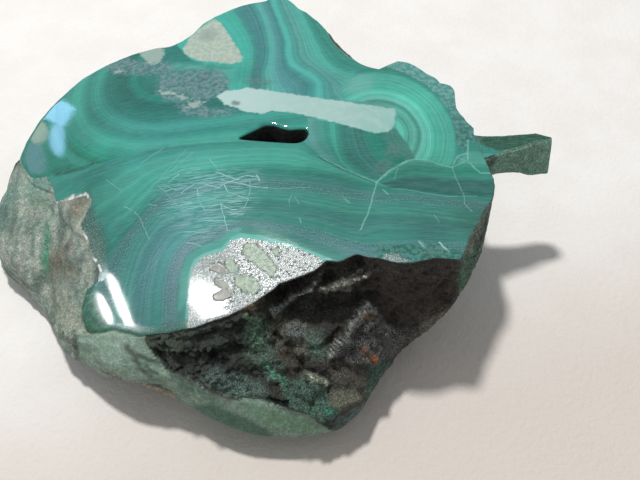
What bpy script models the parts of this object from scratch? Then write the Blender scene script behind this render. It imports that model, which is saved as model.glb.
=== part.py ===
"""Polished malachite slab, built as one solid stone.

The stone is a loft. Rings of points run round it, from the middle of the polished face out to
its rim, down the broken sides and in under it to the flat sawn base. A short tab is grown on at
the right, and a deep natural pocket is cut into the polished face.

All sizes here are in millimetres. The meshes are made in metres.
"""

import math

import bmesh
import bpy
import numpy as np
from mathutils import Vector, noise

MM = 0.001
STONE_NAME = "malachite_slab"

# Polished face: flat at the crown, rolling over to the left and to the front left corner.
CROWN_HEIGHT = 24.0
RIGHT_FALL = 0.0005
LEFT_FALL = 0.0057
CORNER_FALL = 0.0142
CORNER_WAY = (-0.6, -0.8)
FACE_RIPPLE = 0.05
FACE_RIPPLE_LENGTH = 9.0

# Rim of the polished face, seen from above, going round from the front left corner.
RIM = (
    (-27.0, -16.0), (-22.0, -17.2), (-16.0, -19.8), (-11.4, -20.4), (-6.7, -20.4),
    (-3.0, -19.8), (0.3, -18.7), (3.8, -16.6), (7.1, -15.6), (9.8, -15.0),
    (13.1, -12.9), (16.7, -13.1), (20.9, -14.3), (25.2, -13.4), (29.3, -13.1),
    (30.9, -9.2), (33.2, -4.4), (36.0, -1.0), (36.6, 3.0), (35.4, 8.0),
    (34.8, 11.6), (34.8, 13.8), (33.2, 15.8), (32.6, 18.4), (32.4, 21.6),
    (31.8, 24.0), (30.2, 25.2), (28.4, 27.2), (25.4, 30.0), (23.4, 30.6),
    (21.2, 28.9), (19.8, 28.6), (17.6, 29.9), (14.0, 33.8), (11.3, 38.7), (9.0, 42.6),
    (6.0, 46.6), (2.7, 49.0), (-1.7, 49.2), (-5.7, 46.7), (-10.2, 43.2),
    (-14.4, 38.4), (-18.8, 35.6), (-23.6, 36.1), (-29.5, 35.7), (-34.2, 34.2),
    (-38.6, 30.6), (-42.4, 26.0), (-44.2, 21.2), (-43.4, 16.4), (-40.4, 11.8),
    (-36.0, 8.6), (-33.0, 2.5), (-28.6, -1.8), (-26.0, -6.3), (-27.2, -9.4),
    (-28.4, -12.4),
)

# Outlines lower down the sides, each point with its height.
BROW = (
    (-27.6, -16.6, 7.0), (-23.0, -18.0, 8.4), (-13.8, -20.6, 11.4), (-8.4, -21.2, 14.4),
    (-1.7, -20.0, 17.4), (2.2, -17.8, 18.6), (4.0, -17.0, 19.2), (7.6, -16.2, 20.0),
    (10.6, -15.0, 20.2), (14.2, -14.4, 20.4), (17.1, -13.6, 20.4), (21.3, -14.5, 19.2),
    (25.7, -14.2, 18.6), (30.2, -13.4, 18.6), (33.0, -10.4, 19.0), (34.9, -6.2, 19.4),
    (36.5, -1.0, 19.4), (37.3, 3.1, 19.8), (35.8, 9.2, 19.4), (34.4, 15.6, 19.4),
    (31.6, 25.2, 19.2), (19.4, 31.4, 19.0), (12.0, 41.0, 19.0), (0.0, 50.8, 18.6),
    (-14.8, 40.8, 18.4), (-31.0, 37.2, 14.6), (-42.4, 29.0, 11.4), (-46.6, 17.4, 9.8),
    (-42.0, 10.0, 11.0), (-37.6, 6.6, 11.0), (-36.6, 0.5, 9.2), (-34.8, -6.9, 7.0),
    (-31.4, -12.8, 6.6),
)
SHELF = (
    (-25.3, -17.8, 4.6), (-14.0, -20.8, 8.4), (-8.8, -21.8, 9.6), (-1.8, -20.9, 12.2),
    (1.7, -19.6, 13.2), (5.2, -19.2, 13.8), (8.6, -18.6, 14.4), (12.5, -18.0, 13.2),
    (15.8, -15.9, 15.4), (18.8, -14.9, 15.0), (24.4, -15.8, 12.6), (30.0, -14.1, 14.0),
    (32.6, -10.5, 16.2), (36.6, 0.0, 16.2), (35.2, 12.6, 16.4), (29.6, 26.0, 15.6),
    (17.8, 34.0, 15.4), (0.0, 52.0, 15.0), (-16.4, 40.0, 14.4), (-33.6, 37.2, 11.0),
    (-43.8, 27.4, 8.8), (-48.0, 17.4, 8.6), (-45.0, 9.6, 9.2), (-43.0, 0.0, 6.8),
    (-37.4, -7.0, 4.6), (-32.2, -13.4, 4.4),
)
BENCH = (
    (-25.8, -18.0, 1.4), (-22.0, -19.5, 1.8), (-14.0, -21.4, 5.4), (-9.4, -22.6, 6.0),
    (-5.4, -24.4, 6.0), (-1.8, -25.8, 6.0), (2.2, -26.2, 6.0), (6.8, -27.2, 4.4),
    (12.0, -26.6, 3.6), (16.6, -24.0, 4.0), (20.0, -20.4, 5.2), (22.8, -17.9, 6.8),
    (25.4, -16.4, 8.2), (29.6, -13.8, 11.0), (32.4, -10.6, 13.4), (36.0, 0.0, 12.4),
    (34.6, 12.6, 12.6), (26.4, 26.8, 11.6), (16.2, 35.6, 11.4), (0.0, 51.6, 10.4),
    (-18.0, 38.6, 9.8), (-35.4, 36.0, 7.2), (-44.6, 25.6, 6.6), (-48.4, 17.6, 6.6),
    (-48.3, 11.0, 6.6), (-47.6, 4.7, 4.8), (-45.8, -1.0, 3.2), (-41.5, -4.4, 2.6),
    (-37.6, -7.2, 2.4), (-34.2, -11.4, 2.4), (-29.8, -15.8, 1.6),
)
FOOT = (
    (-26.0, -14.6), (-21.4, -17.6), (-17.3, -19.8), (-13.3, -21.4), (-9.6, -23.2),
    (-5.8, -25.6), (-1.2, -27.6), (2.8, -28.3), (6.6, -28.4), (12.6, -27.2),
    (16.2, -24.0), (18.4, -19.6), (22.6, -14.4), (27.0, -8.0), (29.0, 0.0),
    (28.0, 10.0), (22.0, 21.0), (13.0, 31.0), (0.0, 44.0), (-14.0, 35.0),
    (-30.0, 31.0), (-39.0, 22.0), (-42.6, 12.0), (-42.6, 3.0), (-37.2, -3.6),
    (-32.4, -10.0),
)
RIM_ROUNDING = 0.7
SIDE_ROUNDING = 1.6
RIM_CHIP = 0.25
RIM_CHIP_LENGTH = 2.6

# Loft: how many points go round, and how many rings lie between the outlines.
POINTS_ROUND = 150
FACE_RINGS = 9
RINGS_BETWEEN = (3, 5, 6, 5)
BASE_RINGS = 2

# Broken rock: lumps of two sizes and terraces that run level with the polished face. The fine
# relief is full in the broken front and weak elsewhere, where the stone is weathered round.
LUMP_SIZE = 6.5
LUMP_DEPTH = 1.3
CRUMB_SIZE = 2.1
CRUMB_DEPTH = 0.55
TERRACE_STEP = 4.6
TERRACE_DEPTH = 0.6
BROKEN_FROM = -128.0
BROKEN_TO = -8.0
WEATHERED = 0.3
SMOOTH_FACET = 0.12
FACET_FROM = -150.0
FACET_TO = -62.0
FACET_STEEP_TO = -128.0

# Forms that stand out of the broken rock or sink into it: centre, reach and push.
FORMS = (
    # The dark recess under the polished edge, and the grey ledge that lies below it.
    ((4.4, -16.2, 20.8), 1.9, -1.4),
    ((8.0, -15.2, 21.6), 1.9, -1.4),
    ((12.6, -13.6, 22.0), 1.8, -1.0),
    ((2.0, -17.8, 17.9), 1.4, 0.9),
    ((4.6, -17.0, 18.8), 1.4, 1.0),
    ((8.0, -15.8, 19.5), 1.4, 1.0),
    ((13.9, -14.6, 20.0), 1.6, 1.0),
    # The large dark hollow below the ledge.
    ((6.0, -18.0, 16.6), 2.2, -1.6),
    ((10.0, -16.8, 16.8), 2.6, -2.2),
    ((13.4, -15.8, 17.2), 2.0, -1.2),
    ((22.6, -14.8, 15.8), 3.4, -0.9),
    # The knob that stands out at the right, and the ridge that runs down from it.
    ((16.8, -15.8, 14.4), 2.2, 2.0),
    ((14.2, -17.6, 13.8), 1.4, 1.2),
    ((11.9, -20.2, 10.6), 1.5, 1.1),
    # Lumps, ribs and pits of the lower slope.
    ((16.6, -20.4, 9.6), 2.4, 1.1),
    ((13.3, -25.2, 5.8), 2.0, 1.1),
    ((8.8, -24.4, 7.6), 1.6, 1.0),
    ((4.4, -21.2, 11.8), 1.7, -1.4),
    ((-2.0, -20.6, 12.0), 1.6, 0.9),
    ((0.9, -23.0, 10.4), 1.7, 1.0),
    ((4.4, -24.4, 8.6), 1.7, 1.0),
    ((3.6, -26.4, 6.6), 1.3, -2.6),
    ((-5.1, -22.0, 11.0), 1.5, -1.0),
    ((-0.9, -19.2, 19.4), 1.1, 0.6),
)

# Tab at the right: at each distance along X, its far side, the near side at top and bottom,
# and the heights of top and bottom.
TAB_SECTIONS = (
    (31.0, 13.6, 5.6, 6.2, 22.9, 16.2),
    (36.2, 12.6, 6.9, 7.8, 23.1, 17.0),
    (39.0, 12.6, 8.4, 8.6, 23.1, 17.5),
    (42.0, 12.9, 9.4, 9.0, 23.1, 17.3),
    (44.8, 13.3, 10.8, 8.9, 23.0, 16.8),
    (47.4, 13.0, 11.7, 9.3, 22.5, 16.6),
)
TAB_EDGE = 0.7
TAB_ROUGHNESS = 0.16

# Pocket in the polished face: its mouth seen from above, its depth and its narrowing.
POCKET_MOUTH = (
    (-3.8, 10.7), (-3.2, 11.4), (-1.0, 12.9), (0.5, 14.0), (2.0, 13.9), (3.6, 13.1),
    (4.8, 12.9), (6.0, 13.1), (7.3, 13.1), (7.7, 12.1), (7.1, 10.5), (5.8, 9.8),
    (3.0, 10.0), (0.0, 10.3),
)
POCKET_DEPTH = 15.0
POCKET_NARROWING = 0.55
POCKET_CLEARANCE = 3.0

# Finish
STONE_COLOUR = (0.02, 0.22, 0.15, 1.0)
STONE_ROUGHNESS = 0.25


def clear_scene():
    """Remove every object that the scene starts with."""
    for item in list(bpy.data.objects):
        bpy.data.objects.remove(item, do_unlink=True)


def new_collection(name):
    """Return a new collection that is linked to the scene."""
    collection = bpy.data.collections.new(name)
    bpy.context.scene.collection.children.link(collection)
    return collection


def stone_material():
    """Return the green polished stone finish."""
    material = bpy.data.materials.new("polished_malachite")
    material.use_nodes = True
    shader = material.node_tree.nodes["Principled BSDF"]
    shader.inputs["Base Color"].default_value = STONE_COLOUR
    shader.inputs["Roughness"].default_value = STONE_ROUGHNESS
    shader.inputs["Metallic"].default_value = 0.0
    return material


def face_height(x, y):
    """Return the height of the polished face over a point of the plan."""
    height = CROWN_HEIGHT
    height -= RIGHT_FALL * max(x, 0.0) ** 2
    height -= LEFT_FALL * min(x, 0.0) ** 2
    towards_corner = x * CORNER_WAY[0] + y * CORNER_WAY[1]
    height -= CORNER_FALL * max(towards_corner, 0.0) ** 2
    return height


def around(outline, directions, rounding):
    """Return the radius and height of an outline in each direction, with its corners rounded."""
    points = np.array(outline)
    heading = np.degrees(np.arctan2(points[:, 1], points[:, 0]))
    radius = np.hypot(points[:, 0], points[:, 1])
    offsets = (-rounding, 0.0, rounding)
    radii = [np.interp(directions + step, heading, radius, period=360.0) for step in offsets]
    if points.shape[1] == 2:
        return np.mean(radii, axis=0), np.zeros(len(directions))
    heights = [np.interp(directions + step, heading, points[:, 2], period=360.0) for step in offsets]
    return np.mean(radii, axis=0), np.mean(heights, axis=0)


def side_profiles(directions):
    """Return the outlines of the sides as arrays of radius and height, from rim to foot."""
    rim_radius, _ = around(RIM, directions, RIM_ROUNDING)
    rim_height = []
    for place, direction in enumerate(directions):
        turn = math.radians(direction)
        way = Vector((math.cos(turn), math.sin(turn), 0.0))
        rim_radius[place] += noise.noise(way * rim_radius[place] / RIM_CHIP_LENGTH) * RIM_CHIP
        rim_height.append(face_height(*(way * rim_radius[place]).xy))
    levels = [(rim_radius, np.array(rim_height))]
    levels += [around(line, directions, SIDE_ROUNDING) for line in (BROW, SHELF, BENCH, FOOT)]
    return levels


def is_smooth_facet(direction, level):
    """Tell whether a point lies on the sawn facet at the front left."""
    if not FACET_FROM < direction < FACET_TO:
        return False
    return level >= 3.0 or direction < FACET_STEEP_TO


def rock_relief(point, direction, level):
    """Return how far broken rock stands out at a point of the sides."""
    fade = min(level, 1.0) * min((4.0 - level) / 0.6, 1.0)
    lumps = noise.noise(Vector(point) / LUMP_SIZE) * LUMP_DEPTH
    crumbs = noise.noise(Vector(point) / CRUMB_SIZE + Vector((7.0, 3.0, 5.0))) * CRUMB_DEPTH
    wander = noise.noise(Vector(point) / LUMP_SIZE + Vector((1.0, 9.0, 4.0)))
    phase = point[2] / TERRACE_STEP + wander
    terrace = (abs(phase % 1.0 - 0.5) * 4.0 - 1.0) * TERRACE_DEPTH
    fine = 1.0 if BROKEN_FROM < direction < BROKEN_TO else WEATHERED
    relief = (lumps + (crumbs + terrace) * fine) * fade
    if is_smooth_facet(direction, level):
        return relief * SMOOTH_FACET
    for centre, reach, push in FORMS:
        gap = (Vector(point) - Vector(centre)).length / reach
        relief += push * math.exp(-gap * gap) * min(level * 2.0, 1.0)
    return relief


def face_rings(rim_radius, turns):
    """Return the rings of the polished face, from its middle out to its rim."""
    rings = []
    for ring in range(1, FACE_RINGS + 1):
        share = ring / FACE_RINGS
        points = []
        for radius, turn in zip(rim_radius, turns):
            x = share * radius * math.cos(turn)
            y = share * radius * math.sin(turn)
            ripple = noise.noise(Vector((x, y, 0.0)) / FACE_RIPPLE_LENGTH) * FACE_RIPPLE
            points.append((x, y, face_height(x, y) + ripple))
        rings.append(points)
    return rings


def side_rings(levels, directions, turns):
    """Return the rings of the broken sides, from below the rim down to the foot."""
    rings = []
    for upper in range(len(levels) - 1):
        steps = RINGS_BETWEEN[upper]
        for step in range(1, steps + 1):
            share = step / steps
            radii = levels[upper][0] * (1.0 - share) + levels[upper + 1][0] * share
            heights = levels[upper][1] * (1.0 - share) + levels[upper + 1][1] * share
            points = []
            for radius, height, direction, turn in zip(radii, heights, directions, turns):
                place = (radius * math.cos(turn), radius * math.sin(turn), height)
                relief = rock_relief(place, direction, upper + share)
                reach = radius + relief
                points.append((reach * math.cos(turn), reach * math.sin(turn), height))
            rings.append(points)
    return rings


def base_rings(foot_ring):
    """Return the rings of the flat sawn base, from the foot in to the middle."""
    rings = []
    for ring in range(1, BASE_RINGS + 1):
        share = 1.0 - ring / (BASE_RINGS + 1)
        rings.append([(x * share, y * share, 0.0) for x, y, _ in foot_ring])
    return rings


def loft(rings, top_centre, bottom_centre):
    """Return a closed bmesh skinned over rings, with a fan at each end."""
    body = bmesh.new()
    rows = [[body.verts.new(Vector(point) * MM) for point in ring] for ring in rings]
    top = body.verts.new(Vector(top_centre) * MM)
    bottom = body.verts.new(Vector(bottom_centre) * MM)
    count = len(rings[0])
    for here in range(count):
        there = (here + 1) % count
        body.faces.new((top, rows[0][here], rows[0][there]))
        body.faces.new((bottom, rows[-1][there], rows[-1][here]))
        for upper, lower in zip(rows, rows[1:]):
            body.faces.new((upper[here], lower[here], lower[there], upper[there]))
    bmesh.ops.triangulate(body, faces=body.faces[:])
    bmesh.ops.recalc_face_normals(body, faces=body.faces[:])
    return body


def add_object(name, body, collection):
    """Make an object from a bmesh, link it and return it."""
    mesh = bpy.data.meshes.new(name)
    body.to_mesh(mesh)
    body.free()
    item = bpy.data.objects.new(name, mesh)
    collection.objects.link(item)
    return item


def build_stone(collection):
    """Loft the stone without its tab and pocket."""
    directions = np.linspace(-180.0, 180.0, POINTS_ROUND, endpoint=False)
    turns = np.radians(directions)
    levels = side_profiles(directions)
    rings = face_rings(levels[0][0], turns)
    rings += side_rings(levels, directions, turns)
    rings += base_rings(rings[-1])
    body = loft(rings, (0.0, 0.0, face_height(0.0, 0.0)), (0.0, 0.0, 0.0))
    return add_object(STONE_NAME, body, collection)


def build_tab(collection):
    """Loft the tab that grows out of the right side."""
    rings = []
    for x, far, near_top, near_bottom, top, bottom in TAB_SECTIONS:
        corners = (
            (far - TAB_EDGE, top), (far, top - TAB_EDGE), (far, bottom + TAB_EDGE),
            (far - TAB_EDGE, bottom), (near_bottom + TAB_EDGE, bottom),
            (near_bottom, bottom + TAB_EDGE), (near_top, top - TAB_EDGE), (near_top + TAB_EDGE, top),
        )
        ring = []
        for y, z in corners:
            jitter = noise.noise(Vector((x, y, z))) * TAB_ROUGHNESS
            ring.append((x + jitter, y + jitter, z - abs(jitter)))
        rings.append(ring)
    ends = [tuple(np.mean(ring, axis=0)) for ring in (rings[0], rings[-1])]
    return add_object("tab", loft(rings, ends[0], ends[1]), collection)


def build_pocket(collection):
    """Make the cutter for the deep pocket in the polished face."""
    middle = np.mean(np.array(POCKET_MOUTH), axis=0)
    floor_height = CROWN_HEIGHT - POCKET_DEPTH
    top_height = CROWN_HEIGHT + POCKET_CLEARANCE
    cutter = bmesh.new()
    bmesh.ops.create_circle(cutter, segments=len(POCKET_MOUTH), radius=MM, cap_ends=True)
    cutter.verts.ensure_lookup_table()
    for vertex, (x, y) in zip(cutter.verts, POCKET_MOUTH):
        vertex.co = Vector((x, y, top_height)) * MM
    grown = bmesh.ops.extrude_face_region(cutter, geom=cutter.faces[:])
    for vertex in grown["geom"]:
        if isinstance(vertex, bmesh.types.BMVert):
            x = middle[0] + (vertex.co.x / MM - middle[0]) * POCKET_NARROWING
            y = middle[1] + (vertex.co.y / MM - middle[1]) * POCKET_NARROWING
            vertex.co = Vector((x, y, floor_height)) * MM
    bmesh.ops.triangulate(cutter, faces=cutter.faces[:])
    bmesh.ops.recalc_face_normals(cutter, faces=cutter.faces[:])
    item = add_object("pocket_cutter", cutter, collection)
    item.display_type = "WIRE"
    item.hide_render = True
    return item


def join_or_cut(item, other, operation):
    """Add a Boolean modifier that joins or cuts an object with another."""
    boolean = item.modifiers.new(other.name, "BOOLEAN")
    boolean.operation = operation
    boolean.object = other
    boolean.solver = "EXACT"


def main():
    """Build the slab."""
    clear_scene()
    parts = new_collection("polished_malachite_slab")
    tools = new_collection("cutters")
    stone = build_stone(parts)
    tab = build_tab(tools)
    tab.display_type = "WIRE"
    tab.hide_render = True
    pocket = build_pocket(tools)
    join_or_cut(stone, tab, "UNION")
    join_or_cut(stone, pocket, "DIFFERENCE")
    stone.data.materials.append(stone_material())
    stone.data.shade_smooth()


main()
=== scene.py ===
"""Polished malachite slab: its finished surface, and the studio it is shown in.

The stone is one natural piece. Its skin is a fine loft that stands in place of the plain solid: a
domed polished face, broken rock round the sides and a flat sawn base. A tab is joined on at the
right and a deep pocket is cut into the face. Every mark of the stone is then worked out where it
lies: how far each point is from the lines that the bands follow, and from the edges of the strips,
inclusions and seams. The finishes turn those distances into colour, gloss and relief.

Sizes are in millimetres unless a name says otherwise, and the meshes are made in metres.
"""

import logging
import math
from dataclasses import dataclass, field
from enum import IntEnum

import bmesh
import bpy
import numpy as np
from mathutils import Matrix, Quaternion, Vector, noise

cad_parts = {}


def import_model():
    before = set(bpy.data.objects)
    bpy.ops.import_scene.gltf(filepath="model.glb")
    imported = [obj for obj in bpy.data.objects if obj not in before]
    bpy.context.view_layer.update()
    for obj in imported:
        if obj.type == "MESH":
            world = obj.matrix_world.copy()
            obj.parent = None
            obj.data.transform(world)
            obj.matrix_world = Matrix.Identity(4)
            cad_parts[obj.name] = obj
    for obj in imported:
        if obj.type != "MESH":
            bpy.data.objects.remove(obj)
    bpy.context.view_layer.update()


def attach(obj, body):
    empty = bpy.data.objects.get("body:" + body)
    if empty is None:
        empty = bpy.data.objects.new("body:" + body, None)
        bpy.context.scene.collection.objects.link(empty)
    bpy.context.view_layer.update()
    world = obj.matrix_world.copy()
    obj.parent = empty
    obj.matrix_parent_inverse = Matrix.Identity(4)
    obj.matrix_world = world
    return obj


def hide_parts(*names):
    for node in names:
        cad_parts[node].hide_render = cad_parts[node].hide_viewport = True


MM = 0.001
LOG = logging.getLogger("malachite_slab")

# The darkest and the palest base colour that a finish may have.
DARKEST = 0.0015
PALEST = 0.95

Point = tuple[float, ...]
# Red, green and blue as the eye sees them, from 0 to 255.
Seen = tuple[int, int, int]
Stop = tuple[float, Seen]
Socket = bpy.types.NodeSocket
Source = Socket | float | tuple


class Surface(IntEnum):
    """Which finish a face of the stone has."""

    POLISHED = 0
    ROCK = 1
    POCKET = 2


# Colours


def linear(level: float) -> float:
    """Turn a screen level from 0 to 255 into linear light."""
    share = level / 255.0
    return share / 12.92 if share <= 0.04045 else ((share + 0.055) / 1.055) ** 2.4


def paint(seen: Seen, veil: float = 0.0, light: float = 1.0) -> tuple[float, ...]:
    """Return the base colour of a finish that is given as it looks on the finished stone.

    Args:
        seen: the red, green and blue that the eye sees, from 0 to 255.
        veil: how much light the gloss adds on top.
        light: how strongly the studio lights the surface.

    Returns:
        Linear red, green and blue with an alpha of one.
    """
    base = [min(max((linear(level) - veil) / light, DARKEST), PALEST) for level in seen]
    return (*base, 1.0)


# Distances in the plan and in space


def reach_of(points: np.ndarray, line: tuple[Point, ...]) -> np.ndarray:
    """Return how far each point is from a line through a few places.

    Args:
        points: rows of two or three coordinates.
        line: the places that the line joins, with as many coordinates.

    Returns:
        The distance of each point.
    """
    best = np.full(len(points), 1e9)
    corners = np.array(line, dtype=float)
    for start, end in zip(corners, corners[1:]):
        way = end - start
        share = np.clip((points - start) @ way / max(way @ way, 1e-9), 0.0, 1.0)
        gap = np.linalg.norm(points - start - share[:, None] * way, axis=1)
        best = np.minimum(best, gap)
    return best


def is_inside(points: np.ndarray, outline: tuple[Point, ...]) -> np.ndarray:
    """Tell which points of the plan lie inside a closed outline."""
    corners = np.array(outline, dtype=float)
    inside = np.zeros(len(points), dtype=bool)
    for (x0, y0), (x1, y1) in zip(corners, np.roll(corners, -1, axis=0)):
        if y0 == y1:
            continue
        crosses = (points[:, 1] >= min(y0, y1)) & (points[:, 1] < max(y0, y1))
        meets = x0 + (points[:, 1] - y0) * (x1 - x0) / (y1 - y0)
        inside ^= crosses & (points[:, 0] < meets)
    return inside


def depth_in(points: np.ndarray, outline: tuple[Point, ...]) -> np.ndarray:
    """Return how deep each point lies inside a closed outline, below zero outside it."""
    gap = reach_of(points, (*outline, outline[0]))
    return np.where(is_inside(points, outline), gap, -gap)


def noise_at(points: np.ndarray, size: float, shift: Point = (0.0, 0.0, 0.0)) -> np.ndarray:
    """Return smooth noise from about -1 to 1 at each point of space.

    Args:
        points: rows of three coordinates.
        size: how large the lumps of the noise are.
        shift: moves the pattern, so that two layers differ.

    Returns:
        One value for each point.
    """
    scaled = points / size + np.array(shift)
    return np.array([noise.noise(Vector(place)) for place in scaled])


def smooth_step(value: np.ndarray, low: float, high: float) -> np.ndarray:
    """Return a smooth rise from 0 at low to 1 at high."""
    share = np.clip((value - low) / (high - low), 0.0, 1.0)
    return share * share * (3.0 - 2.0 * share)


def drift_at(points: np.ndarray, size: float, *shifts: Point) -> np.ndarray:
    """Return a small move of each point, from one pattern of noise for each direction.

    Args:
        points: rows of three coordinates.
        size: how large the lumps of the noise are.
        shifts: one shift of the pattern for each direction.

    Returns:
        A row for each point, with as many numbers as there are shifts.
    """
    return np.stack([noise_at(points, size, shift) for shift in shifts], axis=-1)


@dataclass(frozen=True)
class Lumps:
    """A layer of smooth noise: how large its lumps are, how far they stand out and its shift."""

    size: float
    height: float
    shift: Point = (0.0, 0.0, 0.0)

    def at(self, points: np.ndarray) -> np.ndarray:
        """Return how far the lumps stand out at each point."""
        return noise_at(points, self.size, self.shift) * self.height


@dataclass(frozen=True)
class Zone:
    """A part of the sides, between two headings in degrees, with a soft start and end."""

    start: Point
    end: Point

    def share(self, heading: np.ndarray) -> np.ndarray:
        """Return how far each heading belongs to the zone."""
        return smooth_step(heading, *self.start) * (1.0 - smooth_step(heading, *self.end))


# Meshes


def bend_grid(rings: np.ndarray, polished_rows: int = 0,
              rest: Surface = Surface.ROCK) -> bmesh.types.BMesh:
    """Bend a flat grid round into a closed skin.

    Args:
        rings: rows of points, from one pole to the other. All points of the first row are one
            place, and so are those of the last.
        polished_rows: how many rows of faces from the first pole are polished.
        rest: the finish of the other faces.

    Returns:
        A closed bmesh in metres, with its faces pointing out.
    """
    rows, count = rings.shape[0], rings.shape[1]
    skin = bmesh.new()
    bmesh.ops.create_grid(skin, x_segments=count, y_segments=rows - 1, size=1.0)
    closed = np.concatenate([rings, rings[:, :1]], axis=1).reshape(-1, 3) * MM
    for vertex, place in zip(skin.verts, closed):
        vertex.co = place
    for index, face in enumerate(skin.faces):
        face.material_index = Surface.POLISHED if index // count < polished_rows else rest
        face.smooth = True
    bmesh.ops.remove_doubles(skin, verts=skin.verts[:], dist=1e-7)
    bmesh.ops.recalc_face_normals(skin, faces=skin.faces[:])
    return skin


def add_object(name: str, skin: bmesh.types.BMesh) -> bpy.types.Object:
    """Make an object from a bmesh, link it to the scene and return it."""
    mesh = bpy.data.meshes.new(name)
    skin.to_mesh(mesh)
    skin.free()
    item = bpy.data.objects.new(name, mesh)
    bpy.context.scene.collection.objects.link(item)
    return item


def add_boolean(item: bpy.types.Object, tool: bpy.types.Object, operation: str) -> None:
    """Join or cut an object with another, by a modifier."""
    boolean = item.modifiers.new(tool.name, "BOOLEAN")
    boolean.operation = operation
    boolean.object = tool
    boolean.solver = "EXACT"
    boolean.material_mode = "INDEX"


# Shader nodes


@dataclass
class Bench:
    """Adds shader nodes to one material and joins them up."""

    material: bpy.types.Material

    def add(self, kind: str, **settings: object) -> bpy.types.Node:
        """Add a node of a kind, with its settings."""
        node = self.material.node_tree.nodes.new(kind)
        for name, value in settings.items():
            setattr(node, name, value)
        return node

    def feed(self, socket: Socket, source: Source) -> None:
        """Give a socket another node's output, or a plain value."""
        if isinstance(source, Socket):
            self.material.node_tree.links.new(source, socket)
        else:
            socket.default_value = source

    def math(self, operation: str, *sources: Source, clamp: bool = False) -> Socket:
        """Add a Math node and return its output."""
        node = self.add("ShaderNodeMath", operation=operation, use_clamp=clamp)
        for socket, source in zip(node.inputs, sources):
            self.feed(socket, source)
        return node.outputs[0]

    def times(self, *sources: Source) -> Socket:
        """Multiply two numbers."""
        return self.math("MULTIPLY", *sources)

    def plus(self, *sources: Source) -> Socket:
        """Add two numbers."""
        return self.math("ADD", *sources)

    def less(self, *sources: Source) -> Socket:
        """Take the second number from the first."""
        return self.math("SUBTRACT", *sources)

    def larger(self, *sources: Source) -> Socket:
        """Return the larger of two numbers."""
        return self.math("MAXIMUM", *sources)

    def vector(self, operation: str, *sources: Source, output: int = 0) -> Socket:
        """Add a Vector Math node and return one of its outputs."""
        node = self.add("ShaderNodeVectorMath", operation=operation)
        for socket, source in zip(node.inputs, sources):
            self.feed(socket, source)
        return node.outputs[output]

    def along(self, place: Source, way: Point) -> Socket:
        """Return how far a place lies along a direction."""
        return self.vector("DOT_PRODUCT", place, way, output=1)

    def away(self, place: Source, other: Source) -> Socket:
        """Return how far a place lies from another."""
        return self.vector("LENGTH", self.vector("SUBTRACT", place, other), output=1)

    def blend(self, share: Source, under: Source, over: Source, mode: str = "MIX") -> Socket:
        """Lay one colour over another by a share and return the colour."""
        node = self.add("ShaderNodeMix", data_type="RGBA", blend_type=mode)
        self.feed(node.inputs[0], share)
        self.feed(node.inputs[6], under)
        self.feed(node.inputs[7], over)
        return node.outputs[2]

    def shaded(self, colour: Source, level: Source) -> Socket:
        """Return a colour made lighter or darker by a level that is 1 where nothing changes."""
        grey = self.add("ShaderNodeCombineColor")
        for socket in grey.inputs:
            self.feed(socket, level)
        return self.blend(1.0, colour, grey.outputs[0], "MULTIPLY")

    def between(self, share: Source, low: Source, high: Source) -> Socket:
        """Mix two numbers by a share and return the number."""
        node = self.add("ShaderNodeMix", data_type="FLOAT")
        for socket, source in zip(node.inputs[0:1] + node.inputs[2:4], (share, low, high)):
            self.feed(socket, source)
        return node.outputs[0]

    def step(self, value: Source, low: float, high: float) -> Socket:
        """Return a smooth rise from 0 at low to 1 at high."""
        node = self.add("ShaderNodeMapRange", interpolation_type="SMOOTHSTEP")
        self.feed(node.inputs["Value"], value)
        start, end = (0.0, 1.0) if low < high else (1.0, 0.0)
        node.inputs["From Min"].default_value = min(low, high)
        node.inputs["From Max"].default_value = max(low, high)
        node.inputs["To Min"].default_value = start
        node.inputs["To Max"].default_value = end
        return node.outputs[0]

    def window(self, value: Source, low: float, high: float) -> Socket:
        """Return 1 where a value lies between two limits, with soft ends."""
        outer, inner = 0.05, 0.12
        rise = self.step(value, low - outer, low + inner)
        return self.times(rise, self.step(value, high + outer, high - inner))

    def ramp(self, value: Source, stops: list[tuple[float, tuple[float, ...]]]) -> Socket:
        """Return the colour that a ramp has at a value from 0 to 1."""
        node = self.add("ShaderNodeValToRGB")
        elements = node.color_ramp.elements
        while len(elements) < len(stops):
            elements.new(1.0)
        for element, (place, colour) in zip(elements, stops):
            element.position = place
            element.color = colour
        self.feed(node.inputs[0], value)
        return node.outputs[0]

    def noise(self, place: Source, scale: float, detail: float = 2.0, rough: float = 0.5,
              twist: float = 0.0, output: str = "Fac") -> Socket:
        """Add a Noise Texture and return one of its outputs.

        Args:
            place: where the noise is read.
            scale: how many lumps it has in a millimetre.
            detail: how many finer layers lie over it.
            rough: how strong the finer layers are.
            twist: how far the noise is pulled about.
            output: the name of the output.

        Returns:
            A number from 0 to 1, or a colour.
        """
        node = self.add("ShaderNodeTexNoise")
        self.feed(node.inputs["Vector"], place)
        node.inputs["Scale"].default_value = scale
        node.inputs["Detail"].default_value = detail
        node.inputs["Roughness"].default_value = rough
        node.inputs["Distortion"].default_value = twist
        return node.outputs[output]

    def cells(self, place: Source, scale: float) -> bpy.types.Node:
        """Add a Voronoi Texture of a scale per millimetre and return the node."""
        node = self.add("ShaderNodeTexVoronoi", feature="F1")
        self.feed(node.inputs["Vector"], place)
        node.inputs["Scale"].default_value = scale
        return node

    def mark(self, name: str, output: str = "Fac") -> Socket:
        """Return a number, or a colour, that the mesh holds at each point."""
        return self.add("ShaderNodeAttribute", attribute_name=name).outputs[output]

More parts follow.
